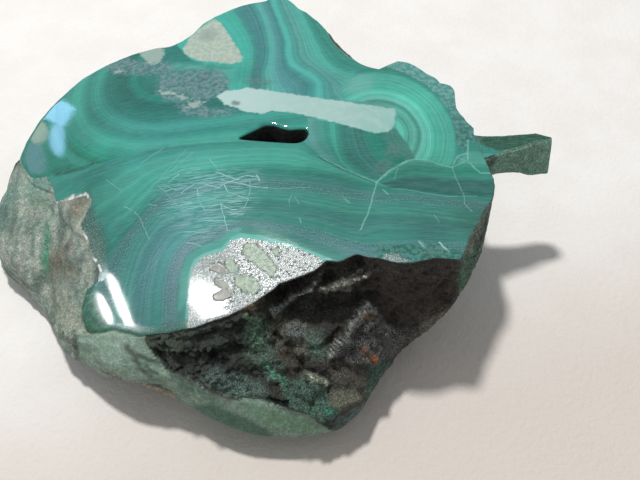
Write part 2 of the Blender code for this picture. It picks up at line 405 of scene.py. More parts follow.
    def bump(self, height: Source, distance: float, under: Source | None = None) -> Socket:
        """Return a normal that is raised by a height, over an earlier normal if there is one."""
        node = self.add("ShaderNodeBump")
        node.inputs["Distance"].default_value = distance * MM
        self.feed(node.inputs["Height"], height)
        if under is not None:
            self.feed(node.inputs["Normal"], under)
        return node.outputs[0]

    def object_place(self) -> Socket:
        """Return the place on the object in millimetres."""
        place = self.add("ShaderNodeTexCoord").outputs["Object"]
        return self.vector("MULTIPLY", place, (1.0 / MM, 1.0 / MM, 1.0 / MM))

    def plan_place(self, place: Source) -> Socket:
        """Return the place seen from above."""
        return self.vector("MULTIPLY", place, (1.0, 1.0, 0.0))


def new_material(name: str) -> tuple[Bench, bpy.types.Node]:
    """Return a bench on a new material, and the material's main shader."""
    material = bpy.data.materials.new(name)
    material.use_nodes = True
    return Bench(material), material.node_tree.nodes["Principled BSDF"]


# The stone's marks


@dataclass(frozen=True)
class BandFamily:
    """A family of bands that follows a few guide lines, from its inner side outwards."""

    name: str
    area: tuple[Point, ...]
    colours: tuple[Stop, ...]
    guides: tuple[tuple[Point, ...], ...] = ()
    centre: Point = (0.0, 0.0)
    stretch: tuple[float, float, float, float] = (1.0, 1.0, 1.0, 1.0)
    inner_side: Point = (0.0, 0.0)
    waviness: float = 0.06

    @property
    def low(self) -> float:
        """The band value of the first colour."""
        return self.colours[0][0]

    @property
    def span(self) -> float:
        """The range of band values that the colours cover."""
        return self.colours[-1][0] - self.colours[0][0]

    def values(self, plan: np.ndarray) -> np.ndarray:
        """Return the band value at each point of the plan."""
        if self.guides:
            return self._between_guides(plan)
        east, west, north, south = self.stretch
        away = plan - np.array(self.centre)
        across = np.where(away[:, 0] > 0.0, east, west) * away[:, 0]
        along = np.where(away[:, 1] > 0.0, north, south) * away[:, 1]
        return np.hypot(across, along)

    def _between_guides(self, plan: np.ndarray) -> np.ndarray:
        """Return the band value from the distances to the guides on both sides."""
        gaps = [self._past(plan, guide) for guide in self.guides]
        value = np.minimum(gaps[0], 0.0) / 3.0
        for step, (near, far) in enumerate(zip(gaps, gaps[1:])):
            share = near / np.maximum(near - far, 1e-6)
            value = np.where((near >= 0.0) & (far < 0.0), step + share, value)
        last = len(gaps) - 1
        return np.where(gaps[-1] >= 0.0, last + gaps[-1] / 3.0, value)

    def _past(self, plan: np.ndarray, guide: tuple[Point, ...]) -> np.ndarray:
        """Return how far each point is past a guide, below zero on the inner side."""
        way = np.array(self.inner_side)
        first = np.array(guide[0]) + way
        last = np.array(guide[-1]) + way
        inside = is_inside(plan, (*guide, tuple(last), tuple(first)))
        gap = reach_of(plan, guide)
        return np.where(inside, -gap, gap)


@dataclass(frozen=True)
class Region:
    """A patch of the polished face with a closed outline."""

    name: str
    outlines: tuple[tuple[Point, ...], ...]

    def depth(self, plan: np.ndarray) -> np.ndarray:
        """Return how deep each point lies inside the nearest of the outlines."""
        return np.max([depth_in(plan, outline) for outline in self.outlines], axis=0)


@dataclass(frozen=True)
class Stroke:
    """A vein or scratch: a thin line through a few places of the plan."""

    places: tuple[Point, ...]
    half_width: float
    strength: float = 1.0


WEST = BandFamily(
    name="west",
    centre=(-15.0, 30.5),
    stretch=(0.4, 1.0, 1.0, 1.0),
    waviness=0.5,
    area=(
        (-50.0, 60.0), (-17.0, 60.0), (-16.5, 36.0), (-13.5, 31.5), (-9.5, 29.0), (-7.0, 25.0),
        (-5.8, 21.5), (-2.0, 18.5), (2.0, 17.8), (8.0, 16.2), (8.2, 11.0), (6.5, 10.2),
        (-4.0, 10.2), (-15.0, 10.2), (-28.0, 9.8), (-33.0, 11.0), (-38.0, 12.0), (-50.0, 14.0),
    ),
    colours=(
        (7.0, (60, 128, 120)), (7.8, (50, 124, 114)), (8.2, (54, 132, 120)), (8.7, (58, 139, 125)),
        (9.2, (56, 135, 122)), (10.1, (53, 120, 112)), (10.5, (53, 116, 108)), (11.9, (56, 118, 111)),
        (12.6, (58, 127, 117)), (13.9, (62, 131, 123)), (14.3, (64, 138, 130)), (14.9, (70, 152, 141)),
        (15.5, (76, 161, 149)), (16.2, (74, 158, 146)), (16.8, (70, 149, 139)), (17.3, (70, 146, 136)),
        (17.8, (66, 142, 132)), (18.3, (68, 150, 138)), (19.2, (78, 168, 152)), (20.0, (78, 166, 150)),
        (21.2, (70, 150, 136)), (22.3, (62, 146, 129)), (23.2, (56, 138, 120)), (23.7, (46, 124, 105)),
        (24.0, (60, 138, 121)), (24.7, (71, 150, 135)), (25.7, (58, 136, 119)),
    ),
)
NORTH = BandFamily(
    name="north",
    area=((-60.0, 60.0), (60.0, 60.0), (60.0, -60.0), (-60.0, -60.0)),
    inner_side=(-60.0, 0.0),
    waviness=0.08,
    guides=(
        ((-12.0, 60.0), (-10.0, 43.2), (-8.0, 40.5), (-5.8, 36.5), (-4.3, 32.5), (-4.2, 29.5),
         (-5.0, 10.0)),
        ((-8.0, 60.0), (-7.0, 45.5), (-5.2, 41.5), (-3.3, 37.0), (-2.4, 33.0), (-2.3, 30.0),
         (-3.0, 10.0)),
        ((-3.6, 60.0), (-3.2, 46.5), (-1.8, 43.0), (-0.7, 38.5), (0.0, 34.5), (0.1, 31.0), (-0.6, 27.0),
         (-0.6, 10.0)),
        ((0.0, 60.0), (0.2, 47.5), (1.2, 44.0), (2.6, 39.0), (3.4, 35.0), (3.5, 31.0), (4.2, 28.7),
         (6.0, 27.0), (7.8, 25.8), (8.8, 24.0), (9.0, 10.0)),
        ((1.2, 60.0), (1.3, 47.5), (2.3, 43.5), (3.6, 39.0), (4.6, 35.0), (4.7, 31.5), (5.4, 29.4),
         (7.2, 27.8), (9.0, 26.3), (10.2, 24.0), (10.5, 10.0)),
        ((4.4, 60.0), (4.5, 48.0), (6.0, 44.0), (7.5, 39.0), (8.7, 35.0), (10.0, 31.0), (11.5, 28.5),
         (13.8, 26.8), (17.0, 26.5), (22.0, 27.0), (40.0, 27.0), (40.0, 10.0)),
        ((7.0, 60.0), (7.2, 48.0), (9.5, 42.0), (12.0, 37.0), (14.5, 33.0), (18.0, 29.5), (22.0, 28.5),
         (50.0, 28.5), (50.0, 10.0)),
    ),
    colours=(
        (0.0, (78, 177, 164)), (0.7, (77, 176, 161)), (0.92, (77, 164, 152)), (1.05, (76, 150, 144)),
        (1.25, (74, 138, 136)), (1.5, (80, 137, 140)), (1.75, (78, 136, 138)), (1.93, (75, 142, 138)),
        (2.05, (82, 158, 151)), (2.2, (94, 174, 166)), (2.33, (95, 168, 165)), (2.47, (91, 155, 156)),
        (2.65, (85, 144, 146)), (2.8, (78, 140, 141)), (2.92, (76, 150, 146)), (3.02, (84, 170, 162)),
        (3.3, (92, 182, 172)), (3.7, (88, 173, 165)), (3.98, (78, 158, 150)), (4.12, (86, 156, 151)),
        (4.3, (92, 158, 153)), (4.55, (92, 167, 158)), (4.8, (86, 168, 158)), (4.95, (88, 175, 163)),
        (5.06, (80, 164, 151)), (5.16, (72, 151, 141)), (5.35, (66, 137, 128)), (5.6, (68, 142, 130)),
        (6.0, (70, 146, 134)),
    ),
)
EAST = BandFamily(
    name="east",
    centre=(19.4, 12.0),
    stretch=(1.0, 1.0, 0.8, 0.8),
    waviness=0.25,
    area=(
        (13.5, 20.0), (13.0, 22.5), (14.0, 25.0), (16.0, 27.2), (18.5, 28.6), (24.0, 31.0), (40.0, 27.0),
        (40.0, 8.5), (33.0, 8.2), (30.5, 5.0), (28.0, 5.4), (24.6, 6.3), (24.2, 7.6), (23.6, 9.6),
        (22.6, 11.6), (21.6, 13.0), (22.0, 14.0), (22.4, 18.0), (18.0, 19.5),
    ),
    colours=(
        (2.5, (94, 184, 168)), (3.2, (97, 192, 176)), (3.6, (98, 192, 176)), (3.95, (90, 174, 158)),
        (4.5, (84, 156, 143)), (4.7, (85, 155, 143)), (5.1, (94, 170, 156)), (5.4, (101, 180, 166)),
        (5.75, (94, 168, 155)), (6.1, (76, 142, 131)), (6.3, (78, 146, 135)), (6.6, (92, 170, 156)),
        (6.85, (112, 190, 176)), (7.1, (108, 188, 173)), (7.4, (90, 178, 163)), (7.75, (97, 186, 170)),
        (8.1, (108, 198, 181)), (8.5, (86, 180, 161)), (8.9, (79, 170, 152)), (9.3, (84, 173, 155)),
        (9.7, (80, 167, 150)), (10.1, (90, 174, 158)), (10.5, (84, 168, 152)), (11.3, (84, 170, 154)),
        (11.8, (84, 167, 152)), (12.1, (70, 145, 134)), (12.6, (68, 136, 126)),
    ),
)
MIDDLE = BandFamily(
    name="middle",
    inner_side=(-60.0, 0.0),
    waviness=0.08,
    area=(
        (7.4, 15.5), (14.0, 13.8), (18.5, 12.0), (21.9, 13.4), (22.6, 11.6), (23.6, 9.6), (24.2, 7.6),
        (24.6, 6.3), (22.0, 5.4), (20.0, 3.6), (18.2, 1.4), (13.0, 4.2), (9.4, 6.8), (7.6, 9.2),
        (6.6, 10.4), (7.8, 12.0),
    ),
    guides=(
        ((6.8, 20.0), (7.0, 13.0), (8.0, 9.0), (10.5, 6.0), (14.0, 0.0)),
        ((11.8, 20.0), (12.0, 11.0), (12.3, 8.0), (13.0, 5.6), (15.0, 3.4), (18.0, 0.0)),
        ((15.6, 20.0), (16.0, 11.0), (16.8, 8.0), (18.0, 5.6), (20.0, 3.0), (22.0, 0.0)),
        ((19.6, 20.0), (20.0, 11.0), (21.0, 8.6), (23.0, 6.6), (27.0, 2.0)),
    ),
    colours=(
        (0.0, (92, 156, 150)), (0.15, (100, 158, 154)), (0.35, (90, 155, 147)), (0.6, (77, 151, 139)),
        (0.8, (70, 150, 136)), (0.9, (82, 168, 152)), (1.0, (74, 157, 143)), (1.1, (69, 147, 134)),
        (1.25, (67, 131, 122)), (1.4, (65, 125, 117)), (1.55, (68, 130, 122)), (1.75, (70, 127, 120)),
        (1.9, (70, 119, 115)), (2.0, (67, 121, 115)), (2.15, (64, 131, 120)), (2.4, (57, 132, 118)),
        (2.75, (54, 126, 112)), (2.95, (64, 129, 118)), (3.1, (74, 129, 121)), (3.5, (77, 131, 122)),
    ),
)
LENS = BandFamily(
    name="lens",
    inner_side=(0.0, -60.0),
    waviness=0.05,
    area=(
        (18.2, 1.4), (20.0, 3.6), (21.8, 5.0), (23.2, 6.1), (24.6, 6.3), (26.8, 6.15), (28.0, 5.4),
        (30.3, 4.7), (33.0, 8.2), (50.0, 8.0), (50.0, -1.0), (31.3, -1.4), (28.0, -1.2), (24.0, -0.4),
        (20.5, 0.1),
    ),
    guides=(
        ((10.0, 0.0), (18.4, 0.3), (20.5, 0.1), (24.0, -0.4), (28.0, -1.2), (31.3, -1.4), (50.0, -1.0)),
        ((10.0, 2.0), (18.4, 2.0), (20.0, 3.6), (21.8, 5.0), (23.2, 6.1), (24.6, 6.3), (28.0, 6.0),
         (33.0, 6.2), (50.0, 6.0)),
    ),
    colours=(
        (0.03, (63, 114, 109)), (0.08, (60, 107, 103)), (0.25, (67, 114, 107)), (0.37, (64, 110, 107)),
        (0.42, (62, 113, 107)), (0.48, (66, 125, 115)), (0.535, (73, 138, 127)), (0.59, (66, 137, 124)),
        (0.7, (61, 137, 121)), (0.8, (62, 137, 120)), (0.87, (75, 144, 129)), (1.0, (88, 158, 145)),
    ),
)
SOUTH = BandFamily(
    name="south",
    inner_side=(0.0, -60.0),
    waviness=0.07,
    area=(
        (-50.0, 12.0), (-36.0, 11.0), (-28.0, 9.8), (-15.0, 10.2), (-4.0, 10.2), (6.6, 10.2), (7.6, 9.2),
        (9.4, 6.8), (13.0, 4.2), (18.2, 1.4), (20.5, 0.1), (24.0, -0.4), (28.0, -1.2), (31.3, -1.4),
        (50.0, -1.0), (50.0, -40.0), (-50.0, -40.0),
    ),
    guides=(
        ((-10.2, -30.0), (-10.0, -17.0), (-9.9, -13.0), (-9.2, -11.1), (-7.5, -10.4), (-5.0, -10.0),
         (-3.6, -8.6), (-2.5, -8.1), (0.0, -8.7), (3.0, -9.7), (6.0, -10.9), (9.0, -12.3), (11.0, -13.4),
         (14.0, -16.0), (40.0, -18.0)),
        ((-11.6, -30.0), (-11.4, -18.0), (-11.3, -13.0), (-10.3, -10.3), (-8.0, -9.2), (-5.5, -8.9),
         (-4.2, -7.6), (-2.0, -7.0), (1.0, -7.4), (4.0, -8.4), (7.0, -9.7), (10.0, -11.2), (13.0, -12.6),
         (18.0, -15.5), (40.0, -17.0)),
        ((-14.2, -30.0), (-14.0, -19.5), (-13.9, -14.0), (-13.0, -10.0), (-10.5, -7.3), (-7.0, -6.3),
         (-3.0, -5.8), (2.0, -6.2), (6.0, -7.1), (10.0, -8.3), (14.0, -9.8), (16.0, -10.3),
         (20.0, -10.0), (25.0, -9.7), (31.0, -10.0), (40.0, -10.0)),
        ((-16.2, -30.0), (-16.0, -19.8), (-15.8, -14.0), (-15.0, -9.5), (-12.5, -6.6), (-9.0, -5.3),
         (-4.0, -4.7), (1.0, -4.9), (5.0, -5.7), (10.0, -7.0), (14.0, -8.7), (15.5, -9.0), (17.0, -8.2),
         (20.0, -7.6), (25.0, -8.0), (29.0, -8.5), (40.0, -9.2)),
        ((-20.4, -30.0), (-20.0, -19.0), (-19.0, -12.0), (-17.5, -7.5), (-14.5, -4.2), (-10.0, -2.8),
         (-4.0, -2.1), (2.0, -2.1), (6.0, -2.6), (10.0, -3.6), (14.0, -4.9), (18.0, -5.0), (22.0, -4.9),
         (26.0, -5.4), (31.0, -6.3), (40.0, -7.0)),
        ((-26.0, -30.0), (-24.0, -16.0), (-22.0, -8.0), (-20.0, -4.5), (-17.0, -1.5), (-12.0, 0.0),
         (-5.0, 0.6), (2.0, 0.6), (7.0, 0.1), (12.0, -0.9), (17.0, -1.8), (22.0, -1.6), (28.0, -2.2),
         (34.0, -3.0), (45.0, -3.0)),
        ((-40.0, -8.0), (-28.0, -4.4), (-23.5, -4.7), (-20.0, -3.0), (-17.5, -0.5), (-15.6, 2.0),
         (-12.0, 3.6), (-5.0, 4.2), (2.0, 4.5), (8.0, 4.0), (12.0, 3.0), (16.0, 1.6), (18.5, 0.8),
         (24.0, 0.0), (30.0, -0.7), (45.0, -0.8)),
        ((-40.0, 10.0), (-28.0, 9.9), (-20.0, 10.3), (-10.0, 10.4), (0.0, 10.3), (6.5, 10.2), (9.6, 7.4),
         (13.0, 4.8), (18.2, 1.9), (24.0, 0.4), (45.0, 0.4)),
    ),
    colours=(
        (0.0, (120, 195, 185)), (0.08, (90, 152, 142)), (0.9, (84, 140, 134)), (1.05, (92, 142, 140)),
        (1.3, (98, 142, 143)), (1.6, (92, 137, 138)), (1.85, (84, 138, 135)), (2.05, (77, 141, 133)),
        (2.4, (75, 142, 132)), (2.7, (72, 134, 126)), (3.0, (78, 140, 132)), (3.3, (78, 133, 129)),
        (3.7, (72, 130, 123)), (3.85, (72, 132, 124)), (3.95, (76, 142, 132)), (4.07, (80, 148, 137)),
        (4.25, (75, 143, 132)), (4.55, (77, 143, 133)), (4.9, (77, 132, 127)), (5.1, (81, 130, 127)),
        (5.42, (78, 135, 130)), (5.6, (67, 134, 124)), (5.8, (64, 133, 121)), (5.92, (67, 140, 127)),
        (6.03, (74, 153, 138)), (6.15, (80, 164, 148)), (6.27, (82, 170, 153)), (6.4, (80, 164, 149)),
        (6.55, (86, 168, 154)), (6.75, (73, 152, 139)), (6.88, (70, 145, 135)), (7.0, (74, 150, 139)),
    ),
)
FAMILIES = (NORTH, EAST, WEST, MIDDLE, LENS, SOUTH)

PALE_STRIP = Region("pale_strip", ((
    (-8.2, 21.2), (-6.4, 22.4), (-4.6, 22.4), (-3.0, 23.0), (3.0, 21.7), (10.0, 20.2), (16.0, 19.0),
    (22.2, 17.9), (21.8, 15.0), (21.0, 12.5), (18.2, 12.1), (16.0, 13.0), (12.0, 14.5), (5.0, 16.8),
    (1.5, 17.2), (0.0, 16.5), (-3.0, 17.0), (-4.6, 18.2), (-6.4, 18.8),
),))
BEIGE_INCLUSION = Region("beige_inclusion", ((
    (-15.0, 36.0), (-14.5, 37.5), (-13.0, 40.0), (-10.3, 42.8), (-9.0, 41.5), (-7.3, 38.0), (-5.5, 34.0),
    (-4.3, 31.0), (-4.3, 29.8), (-6.0, 29.4), (-9.0, 30.2), (-12.0, 31.0), (-14.0, 32.5), (-15.3, 34.5),
),))
MOTTLED_ZONE = Region("mottled_zone", (
    ((-31.0, 38.0), (-30.6, 34.6), (-27.8, 32.0), (-24.0, 30.2), (-19.5, 29.0), (-17.0, 28.6),
     (-16.4, 31.0), (-19.0, 32.0), (-23.0, 33.4), (-26.5, 35.8), (-28.0, 38.0)),
    ((-19.0, 29.0), (-18.9, 24.0), (-17.0, 21.6), (-14.0, 20.4), (-9.0, 20.6), (-6.2, 22.0),
     (-5.9, 25.6), (-8.0, 27.8), (-13.0, 28.6)),
    ((-14.6, 20.0), (-13.8, 17.8), (-10.0, 16.2), (-5.0, 16.4), (-4.8, 17.6), (-9.0, 18.2),
     (-12.0, 19.8)),
))
MOTTLED_SPECKS = Region("mottled_specks", (
    ((-24.0, 36.4), (-20.4, 38.0), (-18.8, 34.8), (-19.2, 31.8), (-21.6, 32.4), (-22.8, 34.6)),
    ((-28.4, 32.8), (-27.4, 31.6), (-26.4, 31.6), (-27.0, 32.6)),
    ((-18.3, 24.2), (-15.0, 23.2), (-15.0, 22.6), (-17.9, 23.2)),
    ((-14.6, 22.2), (-14.0, 22.4), (-12.8, 21.4), (-14.2, 21.2)),
    ((-13.3, 18.8), (-12.2, 20.4), (-9.4, 20.2), (-11.4, 18.8)),
))
TEAL_GAP = Region("teal_gap", ((
    (-18.4, 31.2), (-13.6, 31.0), (-9.0, 29.8), (-6.0, 29.0), (-5.8, 26.8), (-9.0, 27.8), (-14.0, 28.8),
    (-18.4, 29.2),
),))
MINT_RIM = Region("mint_rim", ((
    (-10.0, -17.0), (-9.9, -13.0), (-9.2, -11.1), (-7.5, -10.4), (-5.0, -10.0), (-3.6, -8.6),
    (-2.5, -8.1), (-2.0, -7.2), (-4.2, -7.7), (-5.5, -8.9), (-8.0, -9.3), (-10.2, -10.4), (-11.2, -13.0),
    (-11.3, -18.0),
),))
MATRIX_ON_FACE = Region("matrix_on_face", ((
    (-50.0, 20.0), (-44.5, 17.8), (-41.0, 13.2), (-38.0, 12.0), (-36.0, 9.6), (-35.2, 6.2), (-31.5, 5.9),
    (-28.6, 5.2), (-27.5, 3.6), (-28.4, 1.6), (-29.4, 0.2), (-27.8, -2.0), (-26.8, -4.6), (-25.2, -8.0),
    (-25.4, -9.8), (-28.2, -10.2), (-28.9, -12.0), (-28.2, -14.2), (-27.2, -16.0), (-50.0, -20.0),
),))
DARK_EDGE = Region("dark_edge", (
    ((-28.8, 5.4), (-27.6, 3.2), (-26.2, 0.0), (-24.8, -2.6), (-24.1, -5.2), (-24.2, -7.2),
     (-24.6, -8.8), (-25.6, -9.4), (-27.4, -6.0), (-30.0, -1.8), (-30.4, 0.2), (-30.0, 2.0),
     (-29.4, 4.0)),
))
FRONT_RIM = Region("front_rim", ((
    (-27.6, -14.6), (-24.6, -15.6), (-20.9, -17.0), (-17.4, -18.2), (-14.1, -19.1), (-10.9, -19.3),
    (-7.8, -19.3), (-4.8, -19.1), (-2.2, -18.5), (0.0, -17.8), (1.6, -17.2), (1.0, -21.0),
    (-12.0, -24.0), (-29.0, -20.0),
),))
DARK_GREEN = Region("dark_green", (
    ((-31.0, -9.6), (-26.4, -10.0), (-25.6, -12.4), (-24.6, -14.4), (-23.6, -15.6), (-22.0, -18.0),
     (-32.0, -18.0)),
))
PITTED_ZONE = Region("pitted_zone", ((
    (-9.7, -22.0), (-9.8, -15.0), (-9.4, -12.2), (-8.2, -11.0), (-6.0, -10.8), (-4.6, -10.4),
    (-3.6, -9.3), (-2.0, -8.9), (0.0, -9.4), (3.0, -10.2), (6.0, -11.4), (9.0, -12.9), (10.8, -14.0),
    (12.0, -17.0), (3.6, -20.0), (-4.0, -24.0),
),))
PALE_LUMPS = Region("pale_lumps", (
    ((-1.6, -10.0), (-0.2, -9.9), (0.8, -11.0), (2.2, -12.6), (3.3, -14.4), (2.8, -15.6), (1.4, -14.4),
     (0.2, -13.4), (-0.8, -12.4), (-1.7, -11.6)),
    ((-4.3, -12.0), (-3.4, -12.1), (-2.2, -13.8), (-2.4, -14.6), (-3.4, -14.2), (-4.2, -13.2)),
    ((-2.8, -14.9), (-1.2, -14.5), (0.3, -15.8), (0.9, -16.8), (0.0, -17.8), (-1.2, -17.1),
     (-2.6, -16.0)),
    ((2.4, -11.2), (3.4, -11.0), (4.0, -12.2), (3.0, -12.4)),
))
BROWN_LUMPS = Region("brown_lumps", (
    ((-6.7, -12.5), (-5.6, -12.3), (-4.4, -13.1), (-4.1, -13.9), (-5.3, -13.9), (-6.4, -13.2)),
    ((-5.8, -14.7), (-5.0, -14.8), (-3.9, -15.7), (-3.6, -16.5), (-4.6, -16.3), (-5.5, -15.4)),
    ((-5.9, -17.0), (-4.6, -16.3), (-3.3, -16.7), (-3.2, -17.4), (-4.4, -17.9), (-5.7, -17.7)),
))
ROCK_STRIP = Region("rock_strip", ((
    (20.9, 36.0), (21.3, 28.6), (23.8, 27.3), (26.2, 25.5), (27.7, 24.1), (29.2, 22.1), (30.3, 19.9),
    (31.2, 17.5), (31.5, 15.2), (31.7, 13.0), (31.4, 10.2), (33.0, 8.4), (33.4, 10.8), (35.2, 10.4),
    (38.0, 9.0), (42.0, 7.6), (52.0, 6.0), (52.0, 20.0), (40.0, 36.0),
),))
HAZE = Region("haze", (
    ((13.6, 22.0), (14.4, 25.0), (16.4, 26.4), (18.6, 25.6), (18.0, 22.6), (15.6, 21.4)),
))
SCRATCHED_ZONE = Region("scratched_zone", ((
    (-15.5, 2.6), (-12.5, 4.8), (-6.0, 4.0), (-0.4, 3.0), (0.4, 0.4), (-1.2, -2.6), (-3.8, -7.6),
    (-9.0, -8.6), (-13.5, -4.6), (-15.5, -0.6),
),))
SMOOTH_GREEN = Region("smooth_green", ((
    (17.6, -12.0), (19.0, -10.9), (22.0, -10.6), (26.0, -10.4), (29.4, -11.2), (31.0, -12.6),
    (30.0, -15.0), (18.0, -15.0),
),))
VIOLET_PATCHES = Region("violet_patches", (
    ((23.4, -11.9), (25.2, -11.2), (27.6, -11.2), (28.2, -12.0), (26.0, -12.7), (24.0, -12.6)),
    ((-3.8, 24.2), (-3.2, 25.6), (-1.0, 25.4), (1.2, 24.8), (1.0, 23.2), (-1.4, 23.4)),
    ((17.6, 3.0), (18.6, 5.6), (20.4, 6.4), (21.2, 5.0), (19.4, 3.4)),
    ((19.6, 7.0), (20.6, 9.8), (22.0, 9.4), (22.6, 7.4), (21.2, 6.6)),
    ((16.6, 19.1), (17.4, 19.9), (20.2, 19.6), (22.4, 18.4), (20.0, 18.6)),
))
GREY_CHIPS = Region("grey_chips", (
    ((18.8, -12.6), (20.4, -12.2), (22.6, -13.6), (21.0, -14.6), (18.4, -13.8)),
))
REGIONS = (
    PALE_STRIP, BEIGE_INCLUSION, MOTTLED_ZONE, MOTTLED_SPECKS, PITTED_ZONE, PALE_LUMPS, BROWN_LUMPS,
    ROCK_STRIP, HAZE, SCRATCHED_ZONE, SMOOTH_GREEN, VIOLET_PATCHES, GREY_CHIPS, TEAL_GAP, MINT_RIM,
    MATRIX_ON_FACE, DARK_EDGE, DARK_GREEN, FRONT_RIM,
)

PALE_VEINS = (
    Stroke(((15.4, -8.2), (15.9, -6.9), (16.6, -5.2), (17.3, -2.5), (17.8, -0.4), (18.2, 1.3)),
           0.13, 0.9),
    Stroke(((18.2, 1.3), (19.2, 2.5), (20.4, 3.8), (21.8, 4.9), (23.2, 6.0)), 0.2, 0.9),
    Stroke(((23.2, 6.0), (24.6, 6.35), (26.8, 6.15), (28.0, 5.4), (30.3, 4.7)), 0.14, 0.7),
    Stroke(((30.3, 4.7), (31.2, 7.0), (33.1, 8.1), (33.3, 9.4), (33.5, 10.8)), 0.15, 0.8),
    Stroke(((31.2, 7.0), (32.5, 6.2), (30.3, 4.7)), 0.12, 0.6),
    Stroke(((33.1, 8.0), (32.9, 6.2), (33.8, 4.7), (34.6, 3.7), (36.6, 3.7)), 0.16, 0.9),
    Stroke(((30.3, 4.7), (30.6, 2.6), (31.5, -1.2), (31.4, -2.9), (32.3, -4.2)), 0.09, 0.7),
    Stroke(((21.8, 4.8), (21.3, 3.0), (21.0, 2.0)), 0.09, 0.5),
    Stroke(((9.6, 6.7), (11.0, 5.6), (13.0, 4.3), (15.5, 2.8), (18.2, 1.45)), 0.12, 0.55),
    Stroke(((20.5, 0.0), (22.4, 0.0), (25.6, -0.8), (29.0, -1.3), (33.5, -1.2)), 0.11, 0.5),
    Stroke(((-15.0, 10.2), (-10.0, 10.35), (-4.0, 10.2)), 0.12, 0.35),
    Stroke(((-9.8, -13.6), (-9.3, -11.9), (-8.2, -10.7), (-6.5, -10.5), (-4.9, -10.1)), 0.07, 0.9),
    Stroke(((0.2, -8.7), (1.8, -9.2), (2.6, -9.8)), 0.1, 0.8),
    Stroke(((4.6, -9.7), (6.3, -10.7)), 0.1, 0.8),
)
BROWN_SEAM = (
    Stroke(((9.4, 6.4), (11.0, 5.25), (13.0, 3.95), (15.5, 2.5), (18.0, 1.1)), 0.16, 0.8),
    Stroke(((-35.7, 11.5), (-33.6, 10.9), (-31.6, 10.5), (-30.0, 10.3), (-28.4, 10.5)), 0.34, 0.9),
    Stroke(((-36.2, 12.4), (-33.0, 11.7)), 0.5, 0.5),
    Stroke(((-4.9, 19.3), (-4.5, 19.1)), 0.6, 1.0),
)
# Painted glints: near-white specks of reflection on the chipped crystals beside the matrix, laid into
# the colour.
PAINTED_GLINTS = (
    Stroke(((-35.2, 6.2), (-34.8, 6.0)), 0.3, 1.0), Stroke(((-33.8, 5.7), (-33.4, 5.4)), 0.26, 1.0),
    Stroke(((-32.0, 5.6), (-31.6, 5.7)), 0.42, 1.0), Stroke(((-30.7, 5.3), (-30.1, 5.1)), 0.5, 1.0),
    Stroke(((-29.2, 5.2), (-28.7, 4.6)), 0.36, 1.0), Stroke(((-31.2, 4.5), (-30.9, 4.3)), 0.28, 0.9),
    Stroke(((-29.9, 4.2), (-29.3, 4.0)), 0.26, 0.9), Stroke(((-35.6, 4.2), (-34.4, 3.4)), 0.3, 0.9),
    Stroke(((-33.3, 2.3), (-32.6, 2.0), (-32.2, 3.0)), 0.3, 0.9),
    Stroke(((-30.3, -0.4), (-29.4, -0.8)), 0.22, 1.0), Stroke(((-28.7, -1.6), (-28.0, -2.4)), 0.26, 1.0),
    Stroke(((-26.9, -5.6), (-25.9, -6.5)), 0.2, 1.0), Stroke(((-25.3, -7.4), (-24.8, -8.3)), 0.2, 1.0),
)
